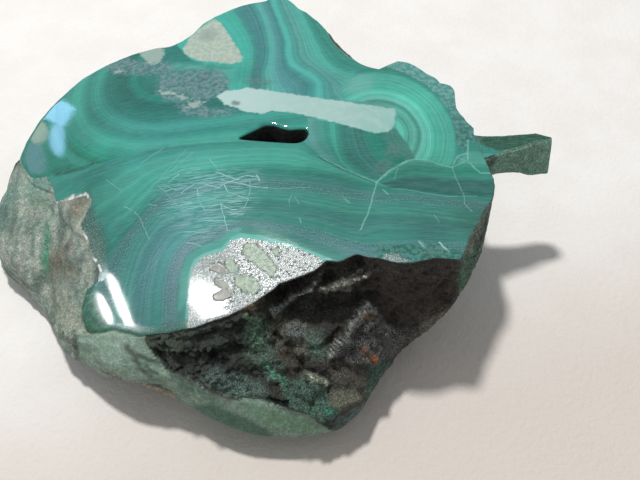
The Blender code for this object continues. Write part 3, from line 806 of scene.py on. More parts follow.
SCRATCHES = (
    Stroke(((-12.0, -2.0), (-10.2, -1.6)), 0.08), Stroke(((-11.0, -0.7), (-8.8, -0.6)), 0.06),
    Stroke(((-10.9, -2.7), (-5.5, -2.8), (-3.8, -3.9), (-3.0, -3.9)), 0.06),
    Stroke(((-8.0, -5.2), (-4.9, -5.7)), 0.07), Stroke(((-11.0, -6.4), (-7.8, -7.2)), 0.06),
    Stroke(((-10.5, -8.2), (-8.2, -9.2)), 0.06),
    Stroke(((-5.6, -2.8), (-4.9, -5.0), (-4.2, -7.5)), 0.06),
    Stroke(((-4.6, -4.3), (-2.0, -4.9)), 0.05),
    Stroke(((-6.8, 3.6), (-3.5, 1.9), (-2.0, 2.7), (0.0, 2.2)), 0.09),
    Stroke(((-0.4, 2.8), (0.2, 1.5)), 0.1),
    Stroke(((-5.8, 1.9), (-2.5, 0.9), (-1.0, 0.4), (1.5, 0.0)), 0.09),
    Stroke(((1.5, 0.0), (3.6, -0.1), (8.4, 0.2)), 0.04, 0.7),
    Stroke(((-6.0, 0.6), (-4.5, 1.5), (-3.0, 1.9)), 0.08),
    Stroke(((-5.2, 0.8), (-4.8, -0.3)), 0.08),
    Stroke(((-1.4, 1.8), (-1.2, 0.4), (-1.3, -1.5)), 0.06, 0.8),
    Stroke(((-4.7, -0.5), (-3.0, -1.3), (-1.4, -2.2)), 0.05),
    Stroke(((-1.4, -2.3), (-2.0, -3.8)), 0.05, 0.7),
    Stroke(((-9.5, 0.6), (-9.2, -0.9), (-9.1, -1.6)), 0.07),
    Stroke(((-9.3, 0.6), (-8.1, 1.2), (-5.8, 0.3)), 0.07),
    Stroke(((-14.2, 2.8), (-12.7, 3.9)), 0.1), Stroke(((-14.5, 2.1), (-12.8, 1.0)), 0.06),
    Stroke(((-12.0, 0.3), (-9.8, 1.8)), 0.08),
    Stroke(((-21.5, 0.4), (-20.0, -0.6), (-18.9, -1.8)), 0.06, 0.8),
    Stroke(((-18.9, -1.8), (-17.6, -4.2), (-16.7, -6.2)), 0.06, 0.7),
    Stroke(((-12.0, 9.0), (-16.0, 3.4)), 0.05, 0.5),
    Stroke(((-16.0, 2.6), (-13.8, 0.0), (-12.3, -2.0)), 0.06, 0.6),
    Stroke(((-8.8, -2.0), (-7.8, -3.6)), 0.05),
    Stroke(((-8.0, 6.5), (-5.0, 7.0)), 0.05, 0.7), Stroke(((-8.0, 6.5), (-6.0, 3.2)), 0.05, 0.8),
    Stroke(((5.2, -1.5), (4.8, -2.5), (5.0, -3.6)), 0.08, 0.4),
    Stroke(((5.6, -1.7), (6.3, -3.2)), 0.08, 0.4),
    Stroke(((6.5, -6.0), (6.7, -6.8)), 0.12, 0.5), Stroke(((13.2, -2.0), (13.9, -2.9)), 0.16, 0.35),
    # The next two strokes are painted glints at the chipped rim, drawn in the scratches' pale colour.
    Stroke(((24.0, -10.2), (24.5, -11.0)), 0.24, 0.6),
    Stroke(((26.9, -10.2), (27.3, -11.0), (28.1, -11.8)), 0.15),
    Stroke(((19.2, -0.2), (19.8, -1.0)), 0.14, 0.5), Stroke(((26.6, -5.0), (27.2, -6.4)), 0.1, 0.35),
    Stroke(((-17.2, -0.4), (-15.8, -1.0)), 0.06, 0.7),
    Stroke(((-12.0, -7.6), (-16.4, -11.0)), 0.05, 0.4),
    Stroke(((-14.8, -8.2), (-19.0, -13.4)), 0.05, 0.4), Stroke(((-25.4, 6.4), (-22.4, 3.4)), 0.05, 0.5),
    Stroke(((-19.4, 7.6), (-15.8, 10.0)), 0.12, 0.35), Stroke(((-14.2, 4.8), (-10.6, 8.4)), 0.06, 0.5),
    Stroke(((-10.8, -1.9), (-6.4, -1.6)), 0.05), Stroke(((-12.8, -3.1), (-9.6, -3.9)), 0.05, 0.8),
    Stroke(((-9.2, -4.4), (-3.2, -4.3)), 0.04, 0.8), Stroke(((-13.4, 1.8), (-11.4, 1.6)), 0.05, 0.8),
    Stroke(((-8.6, 2.2), (-4.4, 2.9)), 0.06, 0.9), Stroke(((-7.4, 1.4), (-3.4, 1.3)), 0.06, 0.9),
)


@dataclass(frozen=True)
class ShadePatch:
    """A soft patch of the polished face that is lighter, darker or greyer than its bands."""

    centre: Point
    reach: float
    gain: tuple[float, float, float]


SHADE_PATCHES = (
    # Greyer over the left half of the polish, and lighter and greyer round the large highlight: a
    # painted glow of it.
    ShadePatch((-15.0, 14.0), 13.0, (1.14, 0.98, 1.04)),
    ShadePatch((-13.0, -6.0), 7.0, (1.3, 1.04, 1.14)),
    ShadePatch((-17.0, -13.0), 5.8, (1.75, 1.22, 1.38)),
    # Lighter places: the scratched middle and a few bands.
    ShadePatch((-8.5, -3.5), 5.5, (1.5, 1.32, 1.36)),
    # A painted glow beside the large highlight.
    ShadePatch((-12.5, -9.0), 3.2, (1.4, 1.25, 1.28)),
    ShadePatch((-9.0, 2.0), 4.5, (1.3, 1.2, 1.22)),
    ShadePatch((-20.0, 9.5), 3.0, (1.25, 1.25, 1.25)),
    ShadePatch((26.4, 20.2), 4.0, (1.25, 1.25, 1.25)),
    ShadePatch((-27.4, 12.8), 2.6, (1.0, 1.2, 1.14)),
    ShadePatch((-17.1, 29.5), 3.0, (1.4, 1.08, 1.2)),
    # Darker places.
    ShadePatch((9.5, 8.1), 2.6, (0.7, 0.8, 0.8)),
    ShadePatch((13.3, 6.9), 2.6, (0.72, 0.86, 0.85)),
    ShadePatch((22.0, 3.6), 3.2, (0.82, 0.84, 0.86)),
    ShadePatch((27.0, 5.4), 2.5, (0.8, 0.86, 0.84)),
    ShadePatch((25.5, -9.6), 3.0, (0.75, 0.74, 0.78)),
    ShadePatch((-18.2, 10.1), 2.6, (0.95, 0.84, 0.88)),
    ShadePatch((-20.0, 24.9), 3.0, (0.85, 0.9, 0.9)),
    ShadePatch((14.0, 3.0), 3.6, (0.7, 0.74, 0.74)),
    ShadePatch((26.0, -5.0), 5.0, (0.85, 0.85, 0.85)),
    ShadePatch((34.0, -7.0), 5.0, (0.72, 0.76, 0.7)),
    ShadePatch((9.0, 3.0), 3.5, (0.78, 0.88, 0.86)),
    ShadePatch((-25.5, -1.0), 4.0, (0.75, 0.8, 0.8)),
    ShadePatch((-3.6, 26.5), 2.6, (0.8, 0.76, 0.76)),
    ShadePatch((12.6, 25.6), 2.4, (0.85, 0.85, 0.85)),
    ShadePatch((-29.0, 22.0), 5.0, (0.6, 0.76, 0.76)),
    ShadePatch((-28.0, 6.0), 3.6, (0.5, 0.68, 0.66)),
    # Darker here to damp the key light's reflection: painted shade.
    ShadePatch((6.6, -9.9), 3.0, (0.62, 0.85, 0.85)),
    ShadePatch((-23.8, -1.0), 3.0, (0.8, 0.8, 0.86)),
    ShadePatch((12.6, -6.0), 3.6, (0.75, 0.86, 0.84)),
    ShadePatch((32.6, -5.4), 2.6, (0.8, 0.74, 0.74)),
    ShadePatch((-28.4, 29.6), 3.4, (0.7, 0.88, 0.86)),
)


FRONT_UP = (0.788, 0.616)


def front_place(places: np.ndarray) -> np.ndarray:
    """Return where each place lies on the broken front: across it, and up its slope."""
    up = places[:, 1] * FRONT_UP[0] + places[:, 2] * FRONT_UP[1]
    return np.column_stack([places[:, 0], up])


@dataclass(frozen=True)
class FrontMark:
    """An area or a line of the broken front: how its rock looks and how far it stands out.

    Its places lie across the front and up its slope. A mark that has a width is a line.
    """

    places: tuple[Point, ...]
    seen: Seen
    push: float = 0.0
    edge: float = 0.6
    width: float = 0.0
    strength: float = 1.0
    sparkle: float = 0.0
    grain: float = 1.0

    def share(self, front: np.ndarray) -> np.ndarray:
        """Return how far each place of the front belongs to this mark."""
        if self.width:
            return np.exp(-((reach_of(front, self.places) / self.width) ** 2)) * self.strength
        return smooth_step(depth_in(front, self.places), -self.edge, self.edge) * self.strength


def ridge(places: tuple[Point, ...], rock: Seen, push: float, width: float, lit_crest: Seen,
          lit_crest_width: float, sparkle: float = 0.0) -> tuple[FrontMark, FrontMark]:
    """Return the two marks of a sharp ridge: a line of raised rock, and along it a pale crest painted as
    if lit.
    """
    return (FrontMark(places, rock, push, width=width, sparkle=sparkle),
            FrontMark(places, lit_crest, width=lit_crest_width))


@dataclass(frozen=True)
class MatrixMark:
    """A streak or a spot of the matrix at the left, which fades away from its places."""

    places: tuple[Point, ...]
    reach: float
    seen: Seen
    strength: float

    def nearness(self, spots: np.ndarray) -> np.ndarray:
        """Return how near each place is to this mark, from 1 on it down to 0."""
        if len(self.places) > 1:
            gap = reach_of(spots, self.places)
        else:
            gap = np.linalg.norm(spots - np.array(self.places[0]), axis=1)
        return np.exp(-((gap / self.reach) ** 2))


DARK_ROCK = (42, 40, 35)
BACK_SEEN = (58, 84, 74)
TAB_SEEN = (75, 103, 92)
TAB_ROOT_SEEN = (54, 75, 66)
FACET_SEEN = (108, 132, 117)
FACET_PALE_SEEN = (124, 144, 128)
FACET_DARK_SEEN = (74, 92, 82)
MATRIX_SEEN = (128, 150, 138)
MATRIX_PALE_SEEN = (168, 174, 162)
MATRIX_DARK_SEEN = (84, 104, 94)
# The upper edge of the smooth facet, from left to right over the front.
FACET_TOP = (
    (-17.6, 5.0), (-16.4, -8.0), (-14.4, -11.0), (-13.2, -12.5), (-11.0, -12.8), (-7.5, -14.5),
    (-5.5, -15.5), (-3.5, -16.0), (1.0, -16.0), (4.5, -17.5), (8.0, -18.6), (11.0, -21.5),
    (30.0, -30.0),
)
FRONT_MARKS = (
    # The slope at the front left, dark brown green, with a small pit painted near-black as the shade in
    # it.
    FrontMark(((-18.0, -8.0), (-14.0, -4.0), (-6.5, -3.0), (-2.5, -1.5), (-1.0, -4.0), (-1.5, -6.5),
               (-2.0, -8.5), (-1.0, -10.5), (1.0, -12.5), (2.0, -14.0), (-3.5, -13.2), (-8.5, -13.2),
               (-14.0, -13.0)), (36, 44, 38), edge=1.0, grain=0.6),
    FrontMark(((-17.0, -8.0), (-11.0, -4.5), (-8.0, -4.5), (-9.5, -7.5), (-10.5, -9.0), (-13.5, -10.0)),
              (52, 64, 51), edge=1.0, strength=0.8, grain=0.6),
    FrontMark(((-6.5, -10.0), (-5.5, -10.5), (-4.0, -11.0)), (14, 16, 14), -0.8, width=0.45),
    # Sparkling teal grey rock above the facet, then the green rock beside the slope.
    FrontMark(((-8.0, -13.2), (-6.0, -12.0), (-4.0, -12.5), (-1.5, -13.0), (1.0, -14.0), (2.5, -15.5),
               (1.0, -16.2), (-3.5, -16.2), (-6.0, -15.2)), (64, 90, 83), 0.3, sparkle=0.6),
    FrontMark(((-1.5, -5.5), (1.0, -4.0), (2.5, -5.5), (2.5, -8.0), (3.0, -10.5), (4.5, -11.5),
               (4.0, -14.2), (1.5, -13.2), (0.0, -11.5), (-1.5, -9.5), (-2.0, -8.0)),
              (68, 92, 79), 0.5, sparkle=0.3),
    FrontMark(((-0.8, -6.2), (0.4, -7.6), (0.2, -9.2)), (88, 124, 98), 0.3, width=0.6, strength=0.7),
    # Brown and beige crumbs with grey crystals, a brown hollow and green specks.
    FrontMark(((2.0, -5.5), (3.5, -4.0), (5.0, -4.5), (7.5, -5.5), (8.0, -8.0), (7.5, -10.5),
               (7.0, -11.5), (4.5, -11.0), (3.5, -10.5), (2.5, -8.0)), (80, 80, 68), 0.4, sparkle=0.5),
    FrontMark(((4.5, -5.2), (7.0, -5.4), (7.2, -7.2), (5.0, -7.6)), (74, 84, 84), 0.5, 0.5, sparkle=0.8),
    # Two small pits, painted dark as the shade in them.
    FrontMark(((2.9, -6.6), (3.3, -7.2)), (30, 27, 20), -0.7, width=0.45),
    FrontMark(((4.4, -8.4), (5.6, -8.8)), (36, 32, 22), -0.6, width=0.4),
    FrontMark(((3.5, -9.0), (5.0, -9.3), (7.0, -10.2), (7.5, -11.6), (5.5, -11.0), (4.0, -10.3)),
              (46, 39, 26), -1.0, 0.4),
    FrontMark(((7.5, -6.8), (10.0, -6.2), (10.5, -9.0), (10.0, -10.5), (8.3, -10.6)),
              (68, 88, 78), 0.3, 0.7, sparkle=0.4),
    FrontMark(((8.0, -8.6), (9.4, -9.6)), (62, 112, 92), width=0.5, strength=0.6),
    # Brown grey rock below the third ridge, and green rock below the ledge.
    FrontMark(((10.5, -10.0), (12.0, -10.5), (16.0, -13.0), (16.5, -15.0), (14.5, -15.2), (13.0, -15.0),
               (11.0, -13.5), (10.0, -11.5)), (72, 70, 61)),
    FrontMark(((4.0, -14.2), (7.0, -13.0), (10.5, -13.5), (10.5, -16.0), (12.0, -18.0), (11.0, -20.0),
               (7.5, -18.8), (4.6, -17.2)), (60, 94, 80), 0.3, sparkle=0.35),
    FrontMark(((1.3, -11.3), (3.0, -13.0), (4.3, -14.2)), (66, 124, 103), 0.2, width=0.4, strength=0.8),
    FrontMark(((10.0, -17.3), (12.0, -17.5), (12.4, -19.2), (10.4, -19.2)), (46, 116, 98), strength=0.7),
    FrontMark(((10.5, -16.0), (12.0, -15.2), (14.0, -15.3), (16.0, -16.8), (14.0, -17.6), (12.0, -18.0)),
              (106, 110, 94), 0.9, grain=0.7),
    FrontMark(((12.5, -19.5), (16.5, -17.5), (17.5, -18.5), (13.0, -22.0), (11.0, -21.5)),
              (76, 101, 96)),
    FrontMark(((16.2, -12.0), (20.5, -12.0), (20.5, -14.5), (18.5, -17.0), (16.0, -16.6), (16.8, -14.5)),
              (54, 86, 75)),
    # The knob of grey crystals, with its brown hollow, and the sharp ridge at its left, whose crest is
    # painted pale as if lit.
    FrontMark(((14.0, -5.5), (15.5, -3.5), (16.5, -2.5), (18.0, -3.0), (18.5, -5.5), (22.0, -6.5),
               (25.0, -7.5), (24.0, -8.5), (22.0, -10.0), (20.0, -11.5), (17.5, -12.0), (15.5, -12.0),
               (12.0, -10.5), (11.0, -10.0), (12.5, -8.0)), (46, 48, 47), 1.0, 0.5, sparkle=0.7),
    FrontMark(((16.0, -4.3), (16.9, -4.6)), (98, 72, 50), -0.6, width=0.5),
    FrontMark(((15.6, -9.4), (16.3, -9.3)), (136, 98, 80), width=0.45),
    *ridge(((11.0, -10.0), (12.0, -8.5), (13.5, -7.2), (14.0, -5.5), (15.0, -4.0), (16.5, -2.5)),
           (62, 65, 63), 0.8, 0.46, (150, 156, 150), 0.24, sparkle=0.6),
    FrontMark(((17.3, -10.7), (17.6, -11.3)), (138, 88, 42), 0.5, width=0.5),
    # The black hollows, painted near-black as the shade in them, the two sharp ridges between them,
    # their crests painted pale as if lit, and the pale crumbs at the rim.
    FrontMark(((3.5, -4.5), (5.0, -3.3), (8.0, -1.2), (11.0, -0.8), (14.0, -0.5), (17.5, -1.3),
               (16.0, -2.5), (14.5, -4.5), (13.0, -5.0), (10.5, -5.5), (7.5, -5.0), (5.0, -4.6)),
              (54, 53, 50), -2.0, 0.6),
    FrontMark(((2.0, -1.0), (3.5, 1.0), (5.0, 2.8), (9.8, 2.8), (8.0, 0.5), (5.0, -1.5), (3.5, -2.5),
               (2.0, -2.5)), (46, 46, 43), -1.6, 0.35),
    FrontMark(((10.0, 0.8), (10.5, 4.0), (12.5, 5.5), (15.0, 6.0), (15.8, 3.0), (14.0, 1.5),
               (11.0, 0.6)), (48, 48, 44), -1.3, 0.35),
    *ridge(((2.5, -3.4), (3.5, -3.0), (5.0, -2.0), (7.0, -0.9), (9.0, 0.6)),
           (66, 72, 70), 0.9, 0.4, (138, 148, 146), 0.24),
    *ridge(((10.0, 0.0), (11.5, 0.0), (12.5, 0.5), (14.5, 0.7), (16.0, 1.5), (17.0, 2.1)),
           (72, 74, 66), 0.8, 0.36, (136, 138, 128), 0.22),
    FrontMark(((-1.5, -2.6), (-0.4, -2.2)), (156, 136, 104), 0.4, width=0.6),
    FrontMark(((-0.9, -4.4), (-0.1, -4.6)), (104, 136, 104), 0.3, width=0.5),
    # The ledge, its edge painted pale as if lit, with its crack above and the deep hole beside the
    # facet, both painted near-black as the shade in them.
    FrontMark(((6.6, -12.0), (8.2, -12.5), (10.4, -13.0)), (18, 17, 14), -0.8, width=0.45),
    FrontMark(((7.0, -12.6), (8.0, -13.0), (9.5, -13.5), (10.5, -13.6), (10.6, -14.3)),
              (152, 160, 140), 0.6, width=0.36),
    FrontMark(((2.0, -16.0), (3.0, -15.7), (4.7, -16.4), (4.6, -17.4), (3.0, -17.3)),
              (8, 10, 9), -2.6, 0.35),
    # The fine dark brown end at the right, greenish at its corner and grey lower down.
    FrontMark(((17.0, 0.5), (16.0, 3.5), (17.0, 6.5), (29.5, 6.5), (30.5, 1.5), (31.0, -1.5),
               (28.0, -4.5), (23.5, -6.0), (19.5, -5.0), (18.0, -2.0)),
              (49, 44, 39), edge=0.8, grain=0.6),
    FrontMark(((26.0, 0.5), (28.5, 1.0), (29.0, -1.5), (27.0, -1.5)), (28, 26, 24), strength=0.8),
    FrontMark(((29.8, 6.5), (36.0, 6.5), (34.5, 1.5), (32.5, -2.0), (31.0, -1.2), (30.0, 1.0)),
              (68, 100, 83)),
    FrontMark(((29.5, 13.0), (31.0, 16.0), (36.0, 16.0), (34.2, 9.5), (32.4, 5.0), (30.4, 4.4),
               (29.4, 8.0)), (104, 122, 108), edge=0.8, strength=0.85, grain=0.8),
    FrontMark(((25.0, -5.5), (29.0, -4.0), (30.0, -5.5), (26.5, -9.0), (24.0, -9.0)),
              (88, 88, 78), sparkle=0.2),
)
FACET_MARKS = (
    FrontMark(((-9.5, -18.4), (-6.5, -17.0), (-4.0, -18.2), (-1.2, -19.4), (1.5, -20.8), (3.0, -23.0),
               (-3.0, -22.5), (-8.0, -20.5)), (46, 85, 71), edge=0.4, strength=0.8),
    FrontMark(((-9.5, -13.8), (-7.0, -15.0), (-4.0, -16.4)), (86, 92, 86), width=0.7, strength=0.7),
    FrontMark(((-2.0, -17.0), (4.0, -18.2), (8.5, -19.6), (9.0, -21.5), (2.0, -20.6)), (97, 133, 107),
              edge=0.8, strength=0.8),
    FrontMark(((-19.2, -9.2), (-17.8, -10.6)), (40, 50, 42), width=0.62, strength=0.85),
    FrontMark(((-17.4, -10.2), (-15.8, -10.9), (-14.4, -11.4)), (42, 52, 44), width=0.34, strength=0.8),
    FrontMark(((-18.0, -11.0), (-16.8, -12.4), (-15.5, -13.3)), (40, 50, 42), width=0.4, strength=0.8),
    FrontMark(((-16.4, -11.9), (-14.5, -13.0)), (44, 54, 46), width=0.3, strength=0.8),
    FrontMark(((-11.0, -14.6), (-8.0, -15.8), (-5.0, -17.2)), (78, 112, 94), width=0.5, strength=0.6),
)
BASE_MARKS = (
    # The crumbly brown lower edge at the left, below a dark line.
    FrontMark(((-33.0, -6.6), (-28.5, -9.4), (-26.0, -11.0), (-21.4, -13.3), (-17.3, -15.0),
               (-13.0, -16.4)), (142, 124, 112), width=0.8, strength=0.85, grain=0.9),
    FrontMark(((-30.0, -7.6), (-26.0, -10.0), (-21.4, -12.4), (-17.3, -14.1), (-13.0, -15.6)),
              (52, 50, 42), width=0.28, strength=0.8),
    FrontMark(((-27.0, -11.2), (-23.0, -13.3), (-19.0, -15.0)), (60, 56, 46), width=0.22, strength=0.7),
)
MATRIX_MARKS = (
    # Brown, grey and green streaks that run down the left side.
    MatrixMark(((-33.0, -3.0, 8.0), (-33.0, -8.0, 5.0), (-29.0, -13.0, 6.0)), 2.6, (122, 126, 108), 0.8),
    MatrixMark(((-38.0, 8.0, 10.0), (-42.0, 2.0, 5.0), (-40.0, -3.0, 3.0)), 1.8, (136, 138, 122), 0.8),
    MatrixMark(((-45.0, 12.0, 9.0), (-47.0, 6.0, 6.0)), 2.2, (84, 124, 114), 0.9),
    MatrixMark(((-41.0, 12.4, 11.6), (-38.4, 10.6, 13.0)), 1.5, (116, 160, 154), 0.8),
    MatrixMark(((-40.0, 6.0, 9.0), (-43.0, 1.0, 5.0)), 0.8, (96, 126, 120), 0.7),
    MatrixMark(((-38.6, 4.6, 9.4), (-38.6, -2.0, 5.0)), 0.8, (88, 122, 108), 0.6),
    MatrixMark(((-33.4, -2.6, 8.6),), 2.4, (96, 92, 74), 0.9),
    MatrixMark(((-32.6, -3.6, 8.4),), 0.8, (38, 36, 28), 0.9),
    MatrixMark(((-31.5, -1.6, 11.0),), 1.5, (60, 58, 44), 0.85),
    MatrixMark(((-30.4, -6.0, 10.0),), 1.6, (104, 100, 84), 0.8),
    MatrixMark(((-36.0, 6.0, 10.6), (-36.6, 0.0, 8.6), (-36.4, -5.0, 7.2)), 0.8, (48, 136, 104), 0.95),
    MatrixMark(((-42.0, 12.0, 10.0), (-37.0, 8.0, 11.0)), 2.0, (122, 156, 138), 0.7),
    MatrixMark(((-44.4, 15.6, 12.0), (-41.0, 12.5, 13.5), (-37.0, 9.4, 15.0)), 1.1,
               (86, 156, 128), 0.85),
    MatrixMark(((-43.0, 10.4, 9.0), (-44.0, 5.0, 6.5)), 0.6, (158, 166, 152), 0.6),
    # The chip at the edge of the polish has a brown middle.
    MatrixMark(((-30.6, 3.4, 15.2),), 1.9, (136, 128, 108), 0.9),
    # A whitish mark by the chip: a painted glint of its crystals.
    MatrixMark(((-35.4, 6.0, 13.0), (-36.0, 3.0, 11.4)), 0.7, (196, 206, 200), 0.7),
)


# How far the lower edge of the front stands clear of the floor. Each row: a place across the front,
# the height up its slope where it begins, the height where it is full, and how far it reaches.
FRONT_CLEAR = (
    (-37.0, 0.0, -8.0, 0.0), (-33.0, -1.5, -9.0, 2.0), (-29.0, -3.0, -12.0, 4.0),
    (-25.0, -4.0, -13.5, 5.5), (-20.0, -4.8, -15.0, 6.8), (-14.0, -5.4, -17.0, 7.0),
    (-6.0, -4.4, -20.0, 6.5), (0.0, -2.4, -21.7, 5.8), (6.0, 0.0, -22.2, 5.4), (12.0, 3.6, -21.4, 5.0),
    (16.0, 3.0, -19.0, 3.8), (19.0, 3.0, -16.0, 1.4), (22.0, 3.0, -14.0, 0.0),
)
CLEAR_WAY = (0.0, -FRONT_UP[1], FRONT_UP[0])


def clear_by(places: np.ndarray) -> np.ndarray:
    """Return how far each place of the front stands out and up, clear of the floor."""
    front = front_place(places)
    across, *columns = np.array(FRONT_CLEAR).T
    begins, full, reach = (np.interp(front[:, 0], across, column) for column in columns)
    share = np.clip((begins - front[:, 1]) / (begins - full), 0.0, 1.0)
    return (reach * share * share * (3.0 - 2.0 * share))[:, None] * np.array(CLEAR_WAY)


FOOT_LEVEL = 4.0


@dataclass(frozen=True)
class RockRelief:
    """How far the rock of the sides stands out, and where its calmer parts are."""

    coarse: Lumps = Lumps(6.5, 1.1)
    wander: Lumps = Lumps(6.5, 1.0, (1.0, 9.0, 4.0))
    crumbs: Lumps = Lumps(2.1, 0.6, (7.0, 3.0, 5.0))
    clods: Lumps = Lumps(1.2, 0.75, (3.0, 8.0, 2.0))
    cracks: Lumps = Lumps(0.85, 1.0, (6.0, 2.0, 9.0))
    grains: Lumps = Lumps(0.5, 0.24, (4.0, 1.0, 6.0))
    crack_depth: float = 0.45
    terrace_step: float = 4.6
    terrace_height: float = 0.55
    terrace_end: Point = (10.0, 17.0)
    foot_fade: float = 0.6
    broken_front: Zone = Zone((-131.0, -126.0), (-14.0, -4.0))
    upper_left: Zone = Zone((118.0, 128.0), (164.0, 172.0))
    right_end: Zone = Zone((-30.0, -18.0), (4.0, 10.0))
    facet_side: Zone = Zone((-151.0, -149.0), (-67.0, -60.0))
    facet_edge: float = 0.3
    broad_ragged: float = 0.5
    small_ragged: float = 0.22

    def height(self, places: np.ndarray, heading: np.ndarray, level: np.ndarray) -> np.ndarray:
        """Return how far the rock stands out at each place of the sides.

        Args:
            places: the places on the smooth sides.
            heading: the direction of each place from the middle, in degrees.
            level: how far down each place is, from 0 at the rim to 4 at the foot.

        Returns:
            One distance for each place.
        """
        below_rim = np.minimum(level, 1.0)
        foot_fade = np.clip((FOOT_LEVEL - level) / self.foot_fade, 0.0, 1.0)
        broken = self.broken_front.share(heading)
        matrix = smooth_step(heading, 150.0, 168.0) + (1.0 - smooth_step(heading, -152.0, -148.0))
        upper_left = self.upper_left.share(heading)
        right_end = self.right_end.share(heading)
        coarse = self.coarse.at(places) * below_rim
        crumbs = self.crumbs.at(places)
        clods = np.abs(self.clods.at(places))
        cracks = (0.5 - np.abs(self.cracks.at(places))) * self.crack_depth
        sharpness = broken + 0.55 * matrix * (1.0 - broken) + 0.25
        rough = 0.3 + 0.7 * broken
        relief = coarse + (crumbs + self.terraces(places)) * rough * np.minimum(level * 1.5, 1.0)
        fine = (clods + self.grains.at(places) + cracks * broken) * np.minimum(level * 3.0, 1.0)
        relief += fine * sharpness
        # The lumps stand out unevenly, so each part is sunk by about as much as they raise it.
        relief = (relief - 0.3 * broken - 0.25 * matrix) * foot_fade
        relief = relief * (1.0 - 0.5 * right_end) - 0.5 * right_end * below_rim * foot_fade
        calm_left = 1.0 - 0.75 * upper_left * (level < 2.0)
        relief = relief * calm_left - 0.5 * upper_left * below_rim
        low_right = smooth_step(places[:, 0], 8.0, 14.0) * smooth_step(level, 2.2, 3.2) * broken
        relief *= 1.0 - 0.75 * low_right
        facet = self.facet(places, heading)
        relief *= 1.0 - 0.9 * facet
        front = self.ragged_front(places)
        forms = sum(mark.push * mark.share(front) for mark in FRONT_MARKS if mark.push)
        return relief + forms * (1.0 - facet) * broken * np.minimum(level * 4.0, 1.0)

    def terraces(self, places: np.ndarray) -> np.ndarray:
        """Return the layers of the rock, which end towards the right."""
        phase = np.mod(places[:, 2] / self.terrace_step + self.wander.at(places), 1.0)
        layers = (np.abs(phase - 0.5) * 4.0 - 1.0) * self.terrace_height
        return layers * (1.0 - 0.85 * smooth_step(places[:, 0], *self.terrace_end))

    def ragged_front(self, places: np.ndarray) -> np.ndarray:
        """Return the places on the front with their marks' edges made ragged."""
        broad = drift_at(places, 1.5, (1.0, 0.0, 0.0), (0.0, 5.0, 0.0))
        small = drift_at(places, 0.6, (4.0, 0.0, 0.0), (0.0, 3.0, 0.0))
        return front_place(places) + self.broad_ragged * broad + self.small_ragged * small

    def facet(self, places: np.ndarray, heading: np.ndarray) -> np.ndarray:
        """Return 1 on the smooth facet at the front left and 0 away from it."""
        front = front_place(places)
        across, up = zip(*FACET_TOP)
        below_top = np.interp(front[:, 0], across, up) - front[:, 1]
        wide = self.facet_side.share(heading)
        return wide * smooth_step(below_top, -self.facet_edge, self.facet_edge)


@dataclass
class RockPaint:
    """The colour, the grain and the sparkle of the rock, as its marks are laid on."""

    colour: np.ndarray
    grain: np.ndarray
    sparkle: np.ndarray

    @classmethod
    def plain(cls, count: int) -> "RockPaint":
        """Return the dark rock that lies under all marks, for a number of points."""
        colour = np.tile([linear(level) for level in DARK_ROCK], (count, 1))
        return cls(colour, np.full(count, 1.0), np.full(count, 0.12))

    def cover(self, share: np.ndarray, seen: Seen, grain: float | None = None,
              sparkle: float = 0.0) -> None:
        """Lay a colour over the rock.

        Args:
            share: how far the colour covers each point.
            seen: the colour as it looks on the finished stone.
            grain: how grainy the rock becomes, or nothing to leave grain and sparkle alone.
            sparkle: how much it sparkles.
        """
        over = np.array([linear(level) for level in seen])
        self.colour = self.colour * (1.0 - share[:, None]) + over * share[:, None]
        if grain is not None:
            self.grain = self.grain * (1.0 - share) + grain * share
            self.sparkle = self.sparkle * (1.0 - share) + sparkle * share


